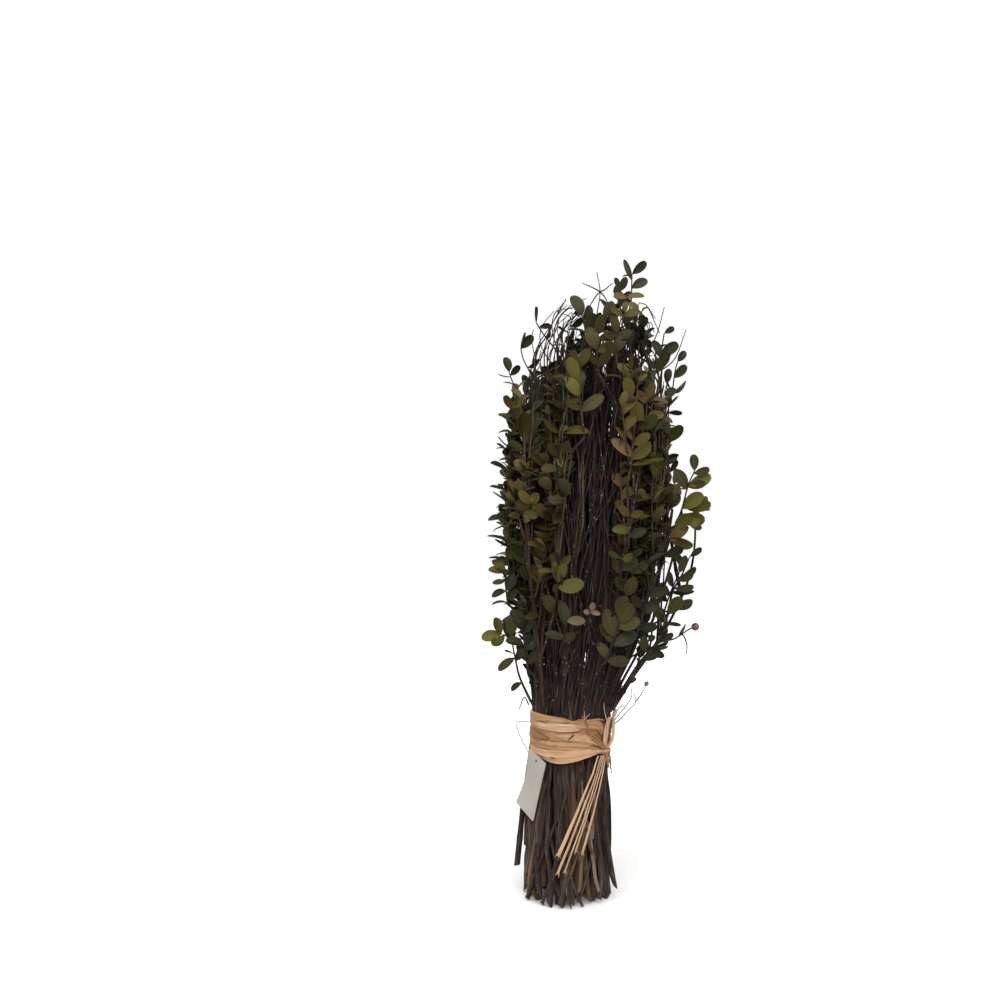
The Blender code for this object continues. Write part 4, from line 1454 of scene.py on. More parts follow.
def add_shoot(shape, path, out, pairs, length, opening, tint, rng, thick=0.0010):
    """A shoot along a path: a green twig, crossed pairs of leaves up it and a tuft at its tip."""
    last = len(path) - 1
    add_twiglet(shape, path, thick, SHOOT_TIP, (rng.uniform(0.6, 1.0), rng.uniform(0.8, 1.2), rng.random()))
    ahead_all = np.gradient(path, axis=0)
    sideways = unit(np.cross(unit(ahead_all[0]), out))
    for number in range(pairs + 1):
        share = (number + 0.6) / (pairs + 0.2)
        size, spread = length * (0.80 + 0.28 * math.sin(math.pi * share)), opening
        row = min(last, round((0.18 + 0.82 * share) * last))
        if number == pairs:
            row, size, spread = last, length * 0.75, 0.55 * opening
        ahead = unit(ahead_all[row])
        across = sideways if number % 2 == 0 else np.cross(ahead, sideways)
        add_pair(shape, path[row], ahead, square_to(across, ahead), out, size, spread, tint, rng)


def away_from_middle(point, z):
    """The level direction to a point from the bundle's middle at a height."""
    return unit((point - around(0.0, 0.0, z)) * LEVEL)


def add_leafy_branch(shape, spec, path, rng):
    """The shoots of a boxwood branch: long, nearly upright, one above the other on alternate sides."""
    _, _, stand_out, top, first_leaf = spec
    z = np.arange(first_leaf - 0.050, top, 0.003)
    settled = np.column_stack((read_off(z, path[:, 2], path[:, :2].T), z))
    free = ramp(z, first_leaf - 0.050, first_leaf)[:, None]
    stem = settled * (1.0 - free) + leafy_point(spec, z) * free + wander(z, rng, 0.0010, 0.09) * free
    if stand_out < LEANS_OUT:
        stem = held(stem, 0.014)
    height, way = first_leaf - 0.040, -1.0
    while height < top - 0.004:
        at = stem[min(len(z) - 1, np.searchsorted(z, height))]
        out = away_from_middle(at, height)
        way = -way
        side = np.cross(UP, out) * way
        length = min(rng.uniform(*SHOOT_LENGTH), top + 0.006 - height)
        height += SHOOT_SPACING * rng.uniform(0.75, 1.3)
        if length < SHORTEST_SHOOT:
            continue
        spread = rng.uniform(*SHOOT_SPREAD) * min(1.0, length / 0.05)
        stand = rng.uniform(*SHOOT_STAND) * min(1.0, length / 0.05)
        share = np.linspace(0.0, 1.0, 13)[:, None]
        course = at + side * spread * share ** 0.7 + out * stand * share ** 0.8 + UP * length * share
        course += wander(course[:, 2], rng, 0.0008, 0.06) * share
        while len(course) > 4 and beyond_outline(course[-1], rng.uniform(0.006, 0.013)):
            course = course[:-1]
        pairs = max(2, round((walked_along(course)[-1] - 0.008) / LEAF_PAIR_SPACING))
        middle = course[len(course) // 2]
        if len(course) < 5 or in_gap(course[-1]) or in_gap(middle):
            continue
        opening = rng.uniform(*SHOOT_OPENING)
        size = rng.uniform(*LEAF_LENGTH)
        add_shoot(shape, course, out, pairs, size, opening, shoot_tint(middle, rng), rng)
    stem = trimmed(stem, 12, 0.004)
    tint = shoot_tint(stem[-1], rng)
    add_shoot(shape, stem[-9:], away_from_middle(stem[-1], top), 3, 0.0135, 45.0, tint, rng, 0.0008)
    add_twiglet(shape, stem, 0.0016, 0.0007, (rng.uniform(0.2, 0.7), 0.8, rng.random()), 7)
    return stem


def add_crown(shapes, stems, rng):
    """Shoots that fill the middle of the top, each on the leafy branch nearest to it."""
    for _ in range(CROWN_SHOOTS):
        turn, share = any_turn(rng), rng.uniform(0.1, 0.85) ** 0.5
        spot = np.array((math.cos(turn), math.sin(turn))) * share
        z = np.arange(0.330, rng.uniform(*CROWN_TOP), 0.004)
        course = from_section(np.broadcast_to(spot, (len(z), 2)), z) + wander(z, rng, 0.0020, 0.09)
        course = trimmed(course, 0, 0.010)
        course = course[-rng.randint(11, 15):]
        if len(course) < 8 or in_gap(course[len(course) // 2]) or rng.random() < 0.1:
            continue
        node = min(stems, key=lambda name: np.linalg.norm(stems[name] - course[0], axis=1).min())
        origin = stems[node][np.linalg.norm(stems[node] - course[0] + UP * 0.02, axis=1).argmin()]
        path = smooth_path((origin, course[0] + UP * 0.004, *course[3:]), 20)
        tint = shoot_tint(course[-1], rng)
        pairs = max(3, round(walked_along(course)[-1] / LEAF_PAIR_SPACING) - 1)
        out = unit(np.array((spot[0], spot[1] - 0.3, 0.0)))
        add_shoot(shapes[node], path, out, pairs, 0.0145, 50.0, tint, rng)


# ---------------------------------------------------------------- sprigs

def sprig(thick, stand, route, leaves):
    """A row of the table below, in metres and shares."""
    return metres(thick), metres(stand), metres(route), tuple(
        (share / 100, turn, lean, roll, metres(length), shade / 100, bright / 100)
        for share, turn, lean, roll, length, shade, bright in leaves)


# Sprigs in front of the others and at the outline. Each has its stalk's radius, how far it stands off the
# branches, X and Z of the stalk's points, and its leaves: place along the stalk, turn from upright towards
# the right, lean towards the front, roll, length, place on the leaves' ramp and brightness
SPRIGS = tuple(sprig(*row) for row in (
    # the dark sprig and the tan leaves at the top
    (8, -40, ((440, 4450), (463, 4570), (468, 4670), (472, 4760)), (
        (85, -26, 5, 34, 165, 14, 100), (100, 43, 0, 42, 138, 16, 100), (95, -72, 0, 65, 70, 10, 90),
        (66, 57, 10, 10, 140, 18, 100), (40, -60, 20, 30, 80, 30, 90))),
    (8, 20, ((380, 4360), (410, 4480), (420, 4570)), (
        (100, -92, 35, 10, 125, 80, 135), (100, 76, 30, -15, 130, 82, 145), (80, 105, 30, 0, 100, 96, 160),
        (75, -42, 20, 20, 110, 42, 100), (45, 4, 25, 0, 80, 64, 135), (30, -62, 25, 10, 130, 55, 100),
        (30, 64, 25, -10, 130, 60, 90))),
    # dark upright leaves at the left of the top
    (8, 20, ((100, 4250), (110, 4360), (90, 4430)), (
        (100, -14, 10, 10, 180, 34, 90), (85, 40, 5, 50, 120, 8, 80), (70, 84, 15, 35, 130, 26, 80),
        (40, 30, 15, 15, 150, 36, 90), (30, -62, 10, 50, 120, 12, 70))),
    (8, 30, ((200, 4000), (190, 4150), (200, 4280)), (
        (100, 10, 15, 10, 150, 40, 80), (90, 78, 15, 30, 130, 45, 80), (60, -20, 15, -10, 180, 42, 100),
        (55, 62, 20, 10, 150, 46, 80), (20, -50, 20, 10, 130, 48, 80), (15, 40, 20, 0, 150, 40, 70))),
    (8, 20, ((340, 4080), (330, 4200), (340, 4300)), (
        (100, -10, 15, 10, 140, 46, 80), (80, 70, 15, 10, 130, 40, 80), (70, -66, 15, 30, 120, 50, 80),
        (35, 25, 20, 0, 140, 42, 70), (20, -35, 20, 0, 140, 38, 70))),
    # dark leaves deep inside, behind the twigs at the top of the gap
    (8, -440, ((220, 3660), (270, 3880), (340, 4100), (460, 4460)), (
        (10, -50, 10, 10, 160, 6, 60), (14, 45, 10, 10, 170, 6, 60), (22, -8, 5, 10, 160, 6, 60),
        (26, 80, 10, 10, 160, 6, 60), (42, -70, 10, 10, 160, 6, 60), (50, 30, 5, 10, 160, 6, 60),
        (56, -30, 5, 10, 160, 6, 60), (66, 75, 5, 10, 150, 6, 60), (80, -40, 5, 10, 150, 6, 60),
        (95, 30, 5, 10, 150, 6, 60))),
    # loose dark leaves at the top left
    (5, 0, ((-40, 4100), (-10, 4280), (30, 4460)), (
        (30, -62, 0, 66, 105, 5, 70), (42, 40, 0, 60, 100, 5, 70), (60, -80, 0, 50, 95, 6, 70),
        (72, 62, 0, 66, 110, 5, 70), (88, -30, 0, 60, 90, 6, 70), (100, 60, 0, 45, 100, 8, 80))),
    (6, -40, ((-120, 4240), (-190, 4340), (-240, 4420)), (
        (100, -17, 0, 75, 125, 5, 70), (85, 86, 0, 20, 95, 5, 70), (30, 20, 0, 70, 110, 8, 70))),
    (6, -20, ((-280, 4020), (-340, 4140), (-360, 4220)), (
        (100, 44, 5, 15, 140, 10, 80), (100, 0, 0, 80, 130, 6, 70), (30, 76, 0, 70, 120, 6, 70))),
    (6, 0, ((-360, 3880), (-420, 3960), (-450, 4040)), (
        (100, -10, 0, 15, 125, 6, 80), (80, -96, 0, 60, 95, 5, 70), (85, 44, 0, 20, 105, 6, 80),
        (35, -46, 0, 70, 95, 5, 70))),
    (8, 60, ((-400, 3620), (-420, 3700), (-420, 3760)), (
        (100, -50, 20, 10, 135, 84, 125), (100, 42, 20, 0, 145, 72, 110), (60, -88, 15, 20, 120, 50, 90),
        (30, 30, 25, 10, 130, 44, 90))),
    # the yellow-green sprig and the wide pair below it
    (10, 100, ((90, 3520), (70, 3720), (50, 3860), (50, 3960), (60, 4060)), (
        (98, -42, 15, 10, 135, 55, 95), (96, 30, 10, -10, 155, 52, 90), (78, -26, 25, 0, 192, 62, 130),
        (66, 8, 5, 10, 150, 46, 80), (55, -28, 25, 0, 172, 61, 125), (48, -58, 5, 10, 165, 30, 80),
        (34, 50, 20, 10, 196, 44, 95), (37, -72, 20, 0, 150, 38, 110), (58, 9, 0, 70, 120, 58, 100))),
    (10, 100, ((-85, 3340), (-80, 3500), (-78, 3570)), (
        (95, -74, 20, 32, 172, 74, 72), (95, 74, 25, -34, 205, 73, 80), (100, 60, 50, 0, 85, 66, 140),
        (20, -50, 20, 10, 140, 40, 80), (20, 30, 20, 10, 140, 30, 80))),
    (10, 80, ((-340, 3360), (-340, 3520), (-330, 3640)), (
        (60, -4, 15, 10, 210, 44, 95), (90, 40, 15, 10, 150, 24, 80), (40, 20, 20, 0, 150, 40, 90),
        (20, -40, 10, 10, 140, 34, 90))),
    # brown leaves left of the gap, and the rosette at the left
    (8, 80, ((-80, 3240), (-100, 3360), (-110, 3420)), (
        (100, 2, 40, 0, 120, 80, 90), (100, 72, 30, 10, 120, 72, 80), (90, -62, 35, 0, 125, 78, 90),
        (90, 150, 60, 0, 110, 74, 90), (30, -82, 10, 10, 130, 92, 80), (20, 60, 20, 30, 130, 20, 80))),
    (8, 110, ((-280, 2840), (-290, 2980), (-295, 3030)), (
        (100, -34, 35, 0, 135, 78, 120), (100, 36, 30, 0, 130, 68, 115), (95, -82, 25, 0, 130, 40, 90),
        (95, 100, 35, 0, 130, 52, 105), (85, 156, 50, 0, 130, 50, 105), (85, -155, 50, 0, 130, 46, 100),
        (100, 10, 60, 0, 80, 60, 130), (20, -50, 15, 20, 140, 20, 80))),
    # thin leaves seen edge on at the left
    (7, 80, ((-440, 3000), (-460, 3250), (-420, 3500), (-390, 3620)), (
        (100, -52, 5, 62, 150, 6, 70), (72, -66, 0, 64, 145, 5, 70), (44, -60, 5, 56, 150, 8, 70),
        (20, -70, 0, 62, 150, 5, 70), (5, -58, 5, 58, 160, 6, 80))),
    (7, 100, ((-430, 2380), (-460, 2620), (-460, 2900)), (
        (100, -66, 5, 60, 150, 5, 70), (70, -58, 0, 56, 160, 8, 80), (40, -62, 5, 62, 150, 6, 70),
        (10, -50, 0, 60, 155, 5, 70))),
    # the brown leaves right of the gap
    (10, 90, ((410, 3200), (445, 3400), (455, 3650), (430, 3800)), (
        (100, -10, 15, 10, 165, 70, 90), (70, 12, 20, 0, 170, 78, 100), (45, 58, 20, 10, 150, 82, 90),
        (50, -40, 15, 30, 100, 74, 120), (30, -38, 25, 0, 190, 88, 125), (28, 50, 15, 20, 180, 72, 95),
        (20, 91, 15, -38, 245, 72, 66))),
    (9, 90, ((520, 3520), (550, 3680), (560, 3800)), (
        (100, 18, 15, 10, 140, 82, 90), (90, -40, 15, 10, 130, 88, 90), (50, 66, 20, 0, 140, 84, 100),
        (45, -50, 20, 10, 140, 78, 90), (20, 40, 15, 10, 150, 30, 80))),
    (9, 100, ((420, 2720), (430, 2900), (420, 2980)), (
        (90, -62, 30, 0, 135, 92, 120), (90, 78, 20, 20, 120, 80, 80), (40, -60, 25, 20, 130, 52, 110),
        (30, 66, 20, 10, 140, 20, 80))),
    (8, 100, ((360, 2460), (370, 2580), (370, 2640)), (
        (100, 88, 40, 10, 130, 50, 125), (100, -70, 20, 30, 120, 30, 90), (50, 50, 15, 10, 150, 16, 80),
        (40, -40, 15, 10, 140, 24, 80))),
    # the dark leaves at the top right
    (7, -20, ((640, 4000), (710, 4180), (740, 4340)), (
        (100, 60, 0, 20, 100, 12, 90), (55, 55, 5, 15, 165, 20, 100), (50, -10, 10, 10, 150, 10, 90),
        (10, 34, 10, 10, 180, 16, 90), (20, -60, 10, 10, 120, 14, 80))),
    (7, 0, ((730, 3620), (790, 3840), (820, 4040), (840, 4120)), (
        (100, 38, 5, 20, 105, 6, 80), (75, 44, 5, 15, 135, 20, 100), (52, 68, 0, 74, 150, 10, 80),
        (55, -44, 5, 60, 110, 8, 70), (22, 78, 0, 78, 110, 14, 80), (10, -30, 10, 20, 130, 14, 80))),
    (8, 30, ((700, 3320), (730, 3440), (740, 3500)), (
        (100, 46, 10, 10, 185, 38, 105), (60, -40, 15, 10, 150, 30, 90), (30, 66, 0, 72, 120, 6, 70),
        (5, 72, 0, 74, 130, 5, 70))),
    # the yellow-green sprig that leans out at the right
    (11, 300, ((700, 2560), (770, 2810), (840, 2980), (882, 3170), (925, 3280)), (
        (100, -3, 0, 10, 125, 22, 105), (97, 80, 5, 35, 130, 28, 110), (80, -28, 10, 10, 175, 24, 105),
        (82, 72, 10, 30, 140, 36, 110), (60, 50, 20, 0, 195, 60, 125), (86, 72, 20, 30, 180, 61, 120),
        (62, 84, 0, 30, 210, 56, 100), (40, 48, 15, 20, 180, 57, 115), (50, 88, 10, 45, 200, 78, 95),
        (25, 40, 25, 0, 185, 84, 110), (30, 112, 10, 55, 180, 80, 90), (10, 60, 15, 20, 170, 14, 90),
        (12, -30, 10, 10, 150, 18, 90))),
    (8, 300, ((890, 2850), (930, 2920), (955, 3000)), (
        (100, 184, 20, 20, 165, 66, 100), (100, 40, 15, 0, 120, 60, 120), (90, 75, 0, 78, 110, 12, 80),
        (20, 116, 0, 20, 120, 88, 100))),
    # the thick branch below it, and the twig with a bud
    (24, 200, ((333, 1465), (430, 1640), (530, 1840), (660, 1980), (760, 2200),
        (790, 2360), (870, 2490), (930, 2630)), (
        (42, 128, 0, 30, 100, 4, 80), (34, 62, 15, 20, 140, 6, 80), (40, -30, 10, 10, 170, 12, 90),
        (46, 92, 0, 74, 110, 70, 60), (52, 30, 0, 72, 110, 10, 70), (54, 30, 15, 72, 128, 10, 80),
        (60, 82, 0, 76, 120, 5, 70), (60, -38, 15, 10, 170, 34, 100), (66, 34, 15, 10, 185, 42, 110),
        (70, 82, 0, 72, 180, 30, 100), (76, -50, 10, 20, 150, 20, 80), (80, 82, 10, 52, 150, 44, 110),
        (88, 60, 5, 50, 140, 5, 80), (92, -30, 10, 20, 140, 22, 80), (100, 50, 0, 40, 110, 10, 90))),
    (7, 200, ((620, 1960), (720, 1975), (820, 2000), (925, 2070), (962, 2085)), (
        (72, 35, 0, 58, 115, 10, 90), (42, 58, 0, 20, 118, 8, 90), (38, 30, 0, 74, 130, 6, 80),
        (10, 84, 0, 70, 120, 6, 80), (22, 190, 0, 30, 110, 5, 80), (5, 140, 0, 40, 120, 6, 80))),
    (8, 260, ((720, 2140), (780, 2340), (820, 2520)), (
        (12, 66, 0, 70, 160, 4, 80), (48, 84, 0, 66, 180, 5, 80), (80, 70, 10, 50, 140, 22, 90),
        (60, -30, 15, 10, 150, 20, 80), (100, 20, 10, 20, 140, 16, 90), (30, -50, 15, 10, 150, 14, 80))),
    # wide leaves low at the right of the gap
    (11, 90, ((260, 1860), (340, 2085), (400, 2340), (455, 2520)), (
        (30, -17, 15, 0, 215, 28, 110), (22, -26, 10, 10, 165, 46, 90), (5, -20, 20, 10, 130, 46, 90),
        (50, 4, 15, 10, 210, 40, 100), (46, 30, 15, 0, 200, 42, 100), (40, 68, 15, 10, 175, 46, 100),
        (20, 60, 10, 0, 205, 2, 100), (2, 92, 15, 20, 175, 22, 90), (75, 24, 15, 10, 170, 38, 90),
        (80, -40, 15, 10, 150, 14, 80), (100, 50, 10, 10, 160, 22, 80), (100, -10, 10, 10, 150, 30, 80))),
    (9, 90, ((500, 2050), (560, 2220), (580, 2380)), (
        (100, 12, 10, 10, 160, 10, 80), (90, 70, 10, 20, 150, 16, 80), (60, -50, 10, 10, 150, 20, 80),
        (50, 50, 10, 20, 160, 8, 80), (20, -20, 10, 20, 150, 14, 80), (15, 80, 10, 20, 140, 6, 70))),
    # low at the left
    (12, 60, ((-290, 1520), (-370, 1700), (-410, 1880), (-440, 1995), (-510, 2030)), (
        (100, -24, 20, 10, 160, 64, 120), (100, -92, 25, 0, 155, 66, 140), (95, -132, 20, 10, 140, 50, 100),
        (90, 18, 15, 20, 165, 56, 85), (80, -10, 10, 20, 180, 14, 80), (60, -122, 5, 10, 165, 24, 115),
        (66, -70, 0, 78, 80, 6, 70), (25, -114, 5, 10, 110, 4, 80), (55, 30, 10, 10, 150, 8, 80))),
    (9, 80, ((-300, 1760), (-330, 1920), (-340, 2080)), (
        (95, -25, 15, 10, 190, 8, 90), (90, 20, 15, 10, 180, 6, 90), (60, -60, 10, 30, 150, 10, 80),
        (50, 40, 15, 10, 160, 5, 90), (20, -20, 15, 10, 150, 12, 80), (15, 34, 15, 10, 140, 20, 80))),
    (9, 100, ((-460, 2260), (-480, 2440), (-480, 2520)), (
        (100, -40, 15, 10, 125, 60, 115), (95, -72, 15, 10, 130, 84, 100), (70, -100, 10, 10, 100, 50, 80),
        (40, -95, 5, 20, 120, 8, 80), (5, -76, 0, 70, 120, 5, 70), (40, 24, 10, 10, 150, 2, 100),
        (10, 30, 10, 20, 140, 6, 80))),
    (12, 60, ((-190, 1500), (-206, 1770), (-236, 2025), (-290, 2425), (-320, 2680)), (
        (72, 24, 10, 20, 150, 16, 80), (80, -36, 10, 30, 150, 22, 90), (100, 10, 10, 10, 160, 20, 80),
        (95, -50, 10, 20, 160, 14, 80))),
    (10, 100, ((-210, 1900), (-150, 2120), (-105, 2360), (-90, 2560)), (
        (74, -38, 40, 0, 110, 46, 105), (80, 82, 15, 10, 205, 56, 110), (50, -26, 10, 30, 160, 30, 90),
        (84, -24, 15, 40, 170, 70, 95), (84, 18, 15, 35, 160, 66, 90), (95, -70, 10, 50, 150, 72, 100),
        (100, 40, 15, 20, 130, 40, 90), (98, -20, 15, 30, 140, 42, 90))),
    (8, 100, ((-80, 1940), (-40, 2080), (-30, 2190)), (
        (80, -8, 15, 10, 190, 12, 100), (95, 84, 25, 20, 155, 60, 168), (40, -56, 10, 20, 140, 10, 80),
        (30, 50, 15, 10, 130, 14, 80))),
    (7, 100, ((130, 2050), (135, 2200), (140, 2260)), (
        (100, 30, 30, 0, 85, 90, 195), (90, -62, 50, 0, 70, 80, 180), (95, 96, 40, 10, 80, 86, 170))),
))


def add_sprig(shape, spec, stems, rng):
    """A sprig and the stalk that joins it to the nearest branch below it."""
    thick, _, _, leaves = spec
    path = sprig_path(spec)
    foot = path[0]
    rows = stems[(stems[:, 2] > foot[2] - 0.050) & (stems[:, 2] < foot[2] - 0.012)]
    rows = rows if len(rows) else stems[:1]
    origin = rows[np.argmin(((rows[:, :2] - foot[:2]) ** 2).sum(axis=1))]
    stalk = smooth_path((origin, origin * 0.45 + foot * 0.55 + UP * 0.002, foot), 9)
    bark = (0.1, 0.7, 0.5) if thick > 0.002 else (rng.uniform(0.4, 0.9), rng.uniform(0.7, 1.0), rng.random())
    add_twiglet(shape, stalk, thick, thick, bark, 6)
    add_twiglet(shape, path, thick, 0.0005, bark, 6)
    for share, turn, lean, roll, length, shade, bright in leaves:
        along = leaf_way(turn, lean)
        roll = math.radians(roll)
        face = square_to(SPRIG_FACE, along)
        face = face * math.cos(roll) + np.cross(along, face) * math.sin(roll)
        tint = (shade, bright, rng.random())
        add_leaf(shape, path[round(STALK_STEPS * share)], along, face, length, tint, rng)


# ---------------------------------------------------------------- raffia

BAND_STRIPS = 7
STRIP_HALF_WIDTH = 0.0044
# Over how many degrees to either side the knot gathers the strips
CROWD_SPREAD = 16.0
# The band's lower and upper edge round the bundle: azimuth and the two heights
BAND_EDGES = (
    (-180.0, 0.1100, 0.1402), (-120.0, 0.1115, 0.1410), (-90.0, 0.1140, 0.1425), (-66.0, 0.1130, 0.1432),
    (-45.0, 0.1100, 0.1430), (-32.0, 0.1080, 0.1428), (-17.0, 0.1068, 0.1420), (-2.0, 0.1084, 0.1398),
    (16.0, 0.1108, 0.1402), (34.0, 0.1136, 0.1412), (48.0, 0.1150, 0.1400), (60.0, 0.1125, 0.1400),
    (90.0, 0.1105, 0.1400), (130.0, 0.1095, 0.1400), (180.0, 0.1100, 0.1402),
)
# How far the strips over the band are from the branches
BAND_SURFACE = 0.0018


def strips(rows):
    """A table of strips in metres and shares: place on the ramp, brightness, route."""
    return tuple((shade / 100, bright / 100, tuple((row[0], *metres(row[1:])) for row in route))
                 for shade, bright, route in rows)


def off(azimuth, middle):
    """How many degrees past another azimuth one is, from -180 to 180."""
    return (azimuth - middle + 180.0) % 360.0 - 180.0


def strip_frame(middle, azimuth):
    """Directions along a strip's course and off its face."""
    along = units(np.gradient(middle, axis=0))
    out = outwards(azimuth)
    return along, out - along * (out * along).sum(axis=1)[:, None]


def add_band(shape, rng):
    """Overlapping strips wound round the branches. They crowd together where the knot gathers them."""
    azimuth = np.linspace(KNOT_AZIMUTH - 4.0, KNOT_AZIMUTH + 350.0, 150)
    edge_azimuth, *edges = zip(*BAND_EDGES)
    low, high = (np.interp(off(azimuth, 0.0), edge_azimuth, edge) for edge in edges)
    crowd = np.exp(-(off(azimuth, KNOT_AZIMUTH) / CROWD_SPREAD) ** 2)
    for number in range(BAND_STRIPS):
        share = number / (BAND_STRIPS - 1)
        half = STRIP_HALF_WIDTH * rng.uniform(0.80, 1.15) * (1.0 - 0.35 * crowd)
        middle_z = low + half + (high - low - 2.0 * half) * share
        middle_z = middle_z + (KNOT_Z - middle_z) * 0.35 * crowd
        if 0 < number < BAND_STRIPS - 1:
            for wave in (1.0, 2.6, 5.3):
                ripple = np.sin(wave * np.radians(azimuth) + any_turn(rng))
                middle_z = middle_z + 0.0007 / wave ** 0.5 * ripple
        radius = smooth_row(GIRTH, middle_z) + 0.0006 + 0.00035 * (number % 3) + 0.0008 * crowd
        middle = around(azimuth, radius, middle_z)
        side = np.cross(outwards(azimuth), units(np.gradient(middle, axis=0)))
        tint = (0.35 + 0.3 * share + rng.uniform(-0.15, 0.15), rng.uniform(0.9, 1.1), rng.random())
        add_ribbon(shape, middle, -side, outwards(azimuth), half, tint, rng, 0.00022, 0.0003, columns=11)
    middle_z = low * 0.5 + high * 0.5
    middle = around(azimuth, smooth_row(GIRTH, middle_z) + 0.00025, middle_z)
    upwards = np.broadcast_to(UP, middle.shape)
    add_ribbon(shape, middle, upwards, outwards(azimuth), (high - low) * 0.47, (0.3, 0.9, 0.5), rng, 0.0001)
    for shade, bright, route in FOLDS:
        add_strand(shape, route, (shade, bright, rng.random()), rng, 0.00035, 60, 0.0004)


def add_strand(shape, route, tint, rng, pleat, steps, bulge=None):
    """A strip over the band. Its route gives azimuth, height, lift off the band and half width."""
    route = smooth_path([(*around(azimuth, smooth_row(GIRTH, z) + BAND_SURFACE + lift, z), half, azimuth)
                         for azimuth, z, lift, half in route], steps)
    middle, half, azimuth = route[:, :3], route[:, 3], route[:, 4]
    along, out = strip_frame(middle, azimuth)
    out = units(out)
    bulge = 0.3 * float(half.mean()) if bulge is None else bulge
    add_ribbon(shape, middle, np.cross(out, along), out, half, tint, rng, pleat, bulge)


# Folds over the front of the band: place on the ramp, brightness, and azimuth, height, lift off the band
# and half width of each point
FOLDS = strips((
    # The first fold is dark: partly darker fibre, partly painted shade where the band turns away at the left
    (12, 95, ((-90, 1275, -8, 32), (-68, 1272, -2, 36), (-48, 1266, 6, 26), (-34, 1260, 4, 6))),
    (50, 100, ((-72, 1205, 2, 16), (-35, 1203, 6, 32), (0, 1203, 7, 34), (22, 1198, 10, 26),
        (36, 1180, 22, 12))),
    (66, 100, ((-24, 1278, 4, 8), (-8, 1274, 9, 30), (10, 1266, 11, 36), (26, 1245, 13, 28),
        (36, 1212, 22, 16), (42, 1182, 36, 9))),
    (86, 106, ((-62, 1350, -2, 10), (-46, 1350, 9, 26), (-20, 1350, 11, 30), (0, 1350, 10, 26),
        (15, 1356, 6, 10))),
    (56, 102, ((-86, 1406, -6, 22), (-60, 1408, 4, 26), (-36, 1405, 10, 24), (-18, 1397, 9, 16),
        (-8, 1390, 4, 5))),
    (42, 100, ((-8, 1382, 4, 8), (6, 1376, 10, 26), (24, 1374, 12, 34), (36, 1350, 14, 30),
        (43, 1290, 18, 18))),
    (70, 106, ((-78, 1160, -4, 10), (-60, 1145, 4, 24), (-40, 1133, 12, 38), (-20, 1124, 13, 50),
        (0, 1134, 13, 44), (18, 1150, 14, 32), (33, 1160, 22, 18), (41, 1164, 38, 10))),
))
# Strands of the knot and loose fibres, in the same form. The first ones are dark strips: painted shade in the
# band's creases, and dark flecks.
STRANDS = strips((
    (0, 40, ((1.5, 1302, 18, 2), (-1.5, 1285, 19, 6), (-4.5, 1268, 19, 4), (-7.0, 1258, 18, 1))),
    (0, 50, ((-50, 1382, 12, 1), (-44, 1380, 13, 4), (-36, 1379, 13, 1))),
    (5, 60, ((-30, 1123, 22, 1), (-25, 1119, 25, 5), (-21, 1118, 24, 1))),
    (5, 60, ((22, 1209, 20, 1), (31, 1204, 22, 4), (39, 1192, 34, 3))),
    (5, 60, ((24, 1251, 20, 1), (31, 1262, 22, 4), (37, 1276, 26, 2))),
    (0, 35, ((50, 1215, 42, 4), (55, 1290, 34, 9), (58, 1355, 30, 8), (59, 1395, 24, 3))),
    (62, 100, ((44, 1166, 50, 10), (43, 1230, 48, 18), (46, 1300, 40, 25), (50, 1360, 26, 22),
        (56, 1402, 12, 12))),
    (80, 110, ((48, 1164, 42, 10), (61, 1235, 40, 18), (67, 1330, 26, 24), (70, 1400, 12, 20),
        (74, 1446, 16, 12))),
    (22, 95, ((13.7, 1418, 12, 4), (18, 1360, 16, 9), (23.4, 1298, 18, 13), (30, 1266, 22, 14),
        (35, 1240, 30, 14), (42.5, 1193, 52, 12), (50.9, 1139, 36, 9))),
    (30, 85, ((12.9, 1412, 12, 3), (20, 1318, 18, 5), (29, 1250, 24, 6), (41, 1185, 56, 6))),
    (55, 100, ((38, 1150, 16, 12), (44, 1160, 60, 14), (50, 1168, 62, 13), (57, 1160, 26, 10))),
    (30, 90, ((41, 1210, 50, 8), (46, 1175, 66, 9), (52, 1140, 50, 9))),
    (45, 95, ((46, 1150, 42, 12), (49, 1112, 42, 15), (54, 1060, 28, 13), (58, 1018, 22, 5))),
    (35, 90, ((50, 1150, 36, 8), (55, 1105, 36, 9), (60, 1050, 30, 8), (62, 1000, 26, 3))),
    (0, 60, ((48, 1140, 36, 3), (54, 1085, 34, 3), (60, 1020, 34, 3), (61, 980, 38, 2), (57, 962, 42, 1))),
    (98, 110, ((45.6, 1343, 44, 3), (45, 1383, 40, 3), (38, 1471, 40, 2.8), (31.8, 1539, 60, 2))),
    (70, 100, ((13.7, 1412, 18, 3), (10.5, 1430, 28, 3), (7.9, 1446, 40, 1.5))),
    (90, 100, ((13.7, 1412, 18, 3), (12.0, 1445, 32, 3), (10.8, 1482, 46, 1.5))),
    (80, 100, ((13.7, 1412, 18, 3), (15.5, 1438, 34, 3), (17.8, 1462, 46, 1.5))),
    (60, 90, ((13.7, 1412, 18, 3), (7.0, 1414, 24, 3), (0.5, 1406, 26, 1.5))),
    (60, 100, ((42, 1395, 18, 5), (30, 1408, 20, 5), (18, 1400, 16, 2))),
))
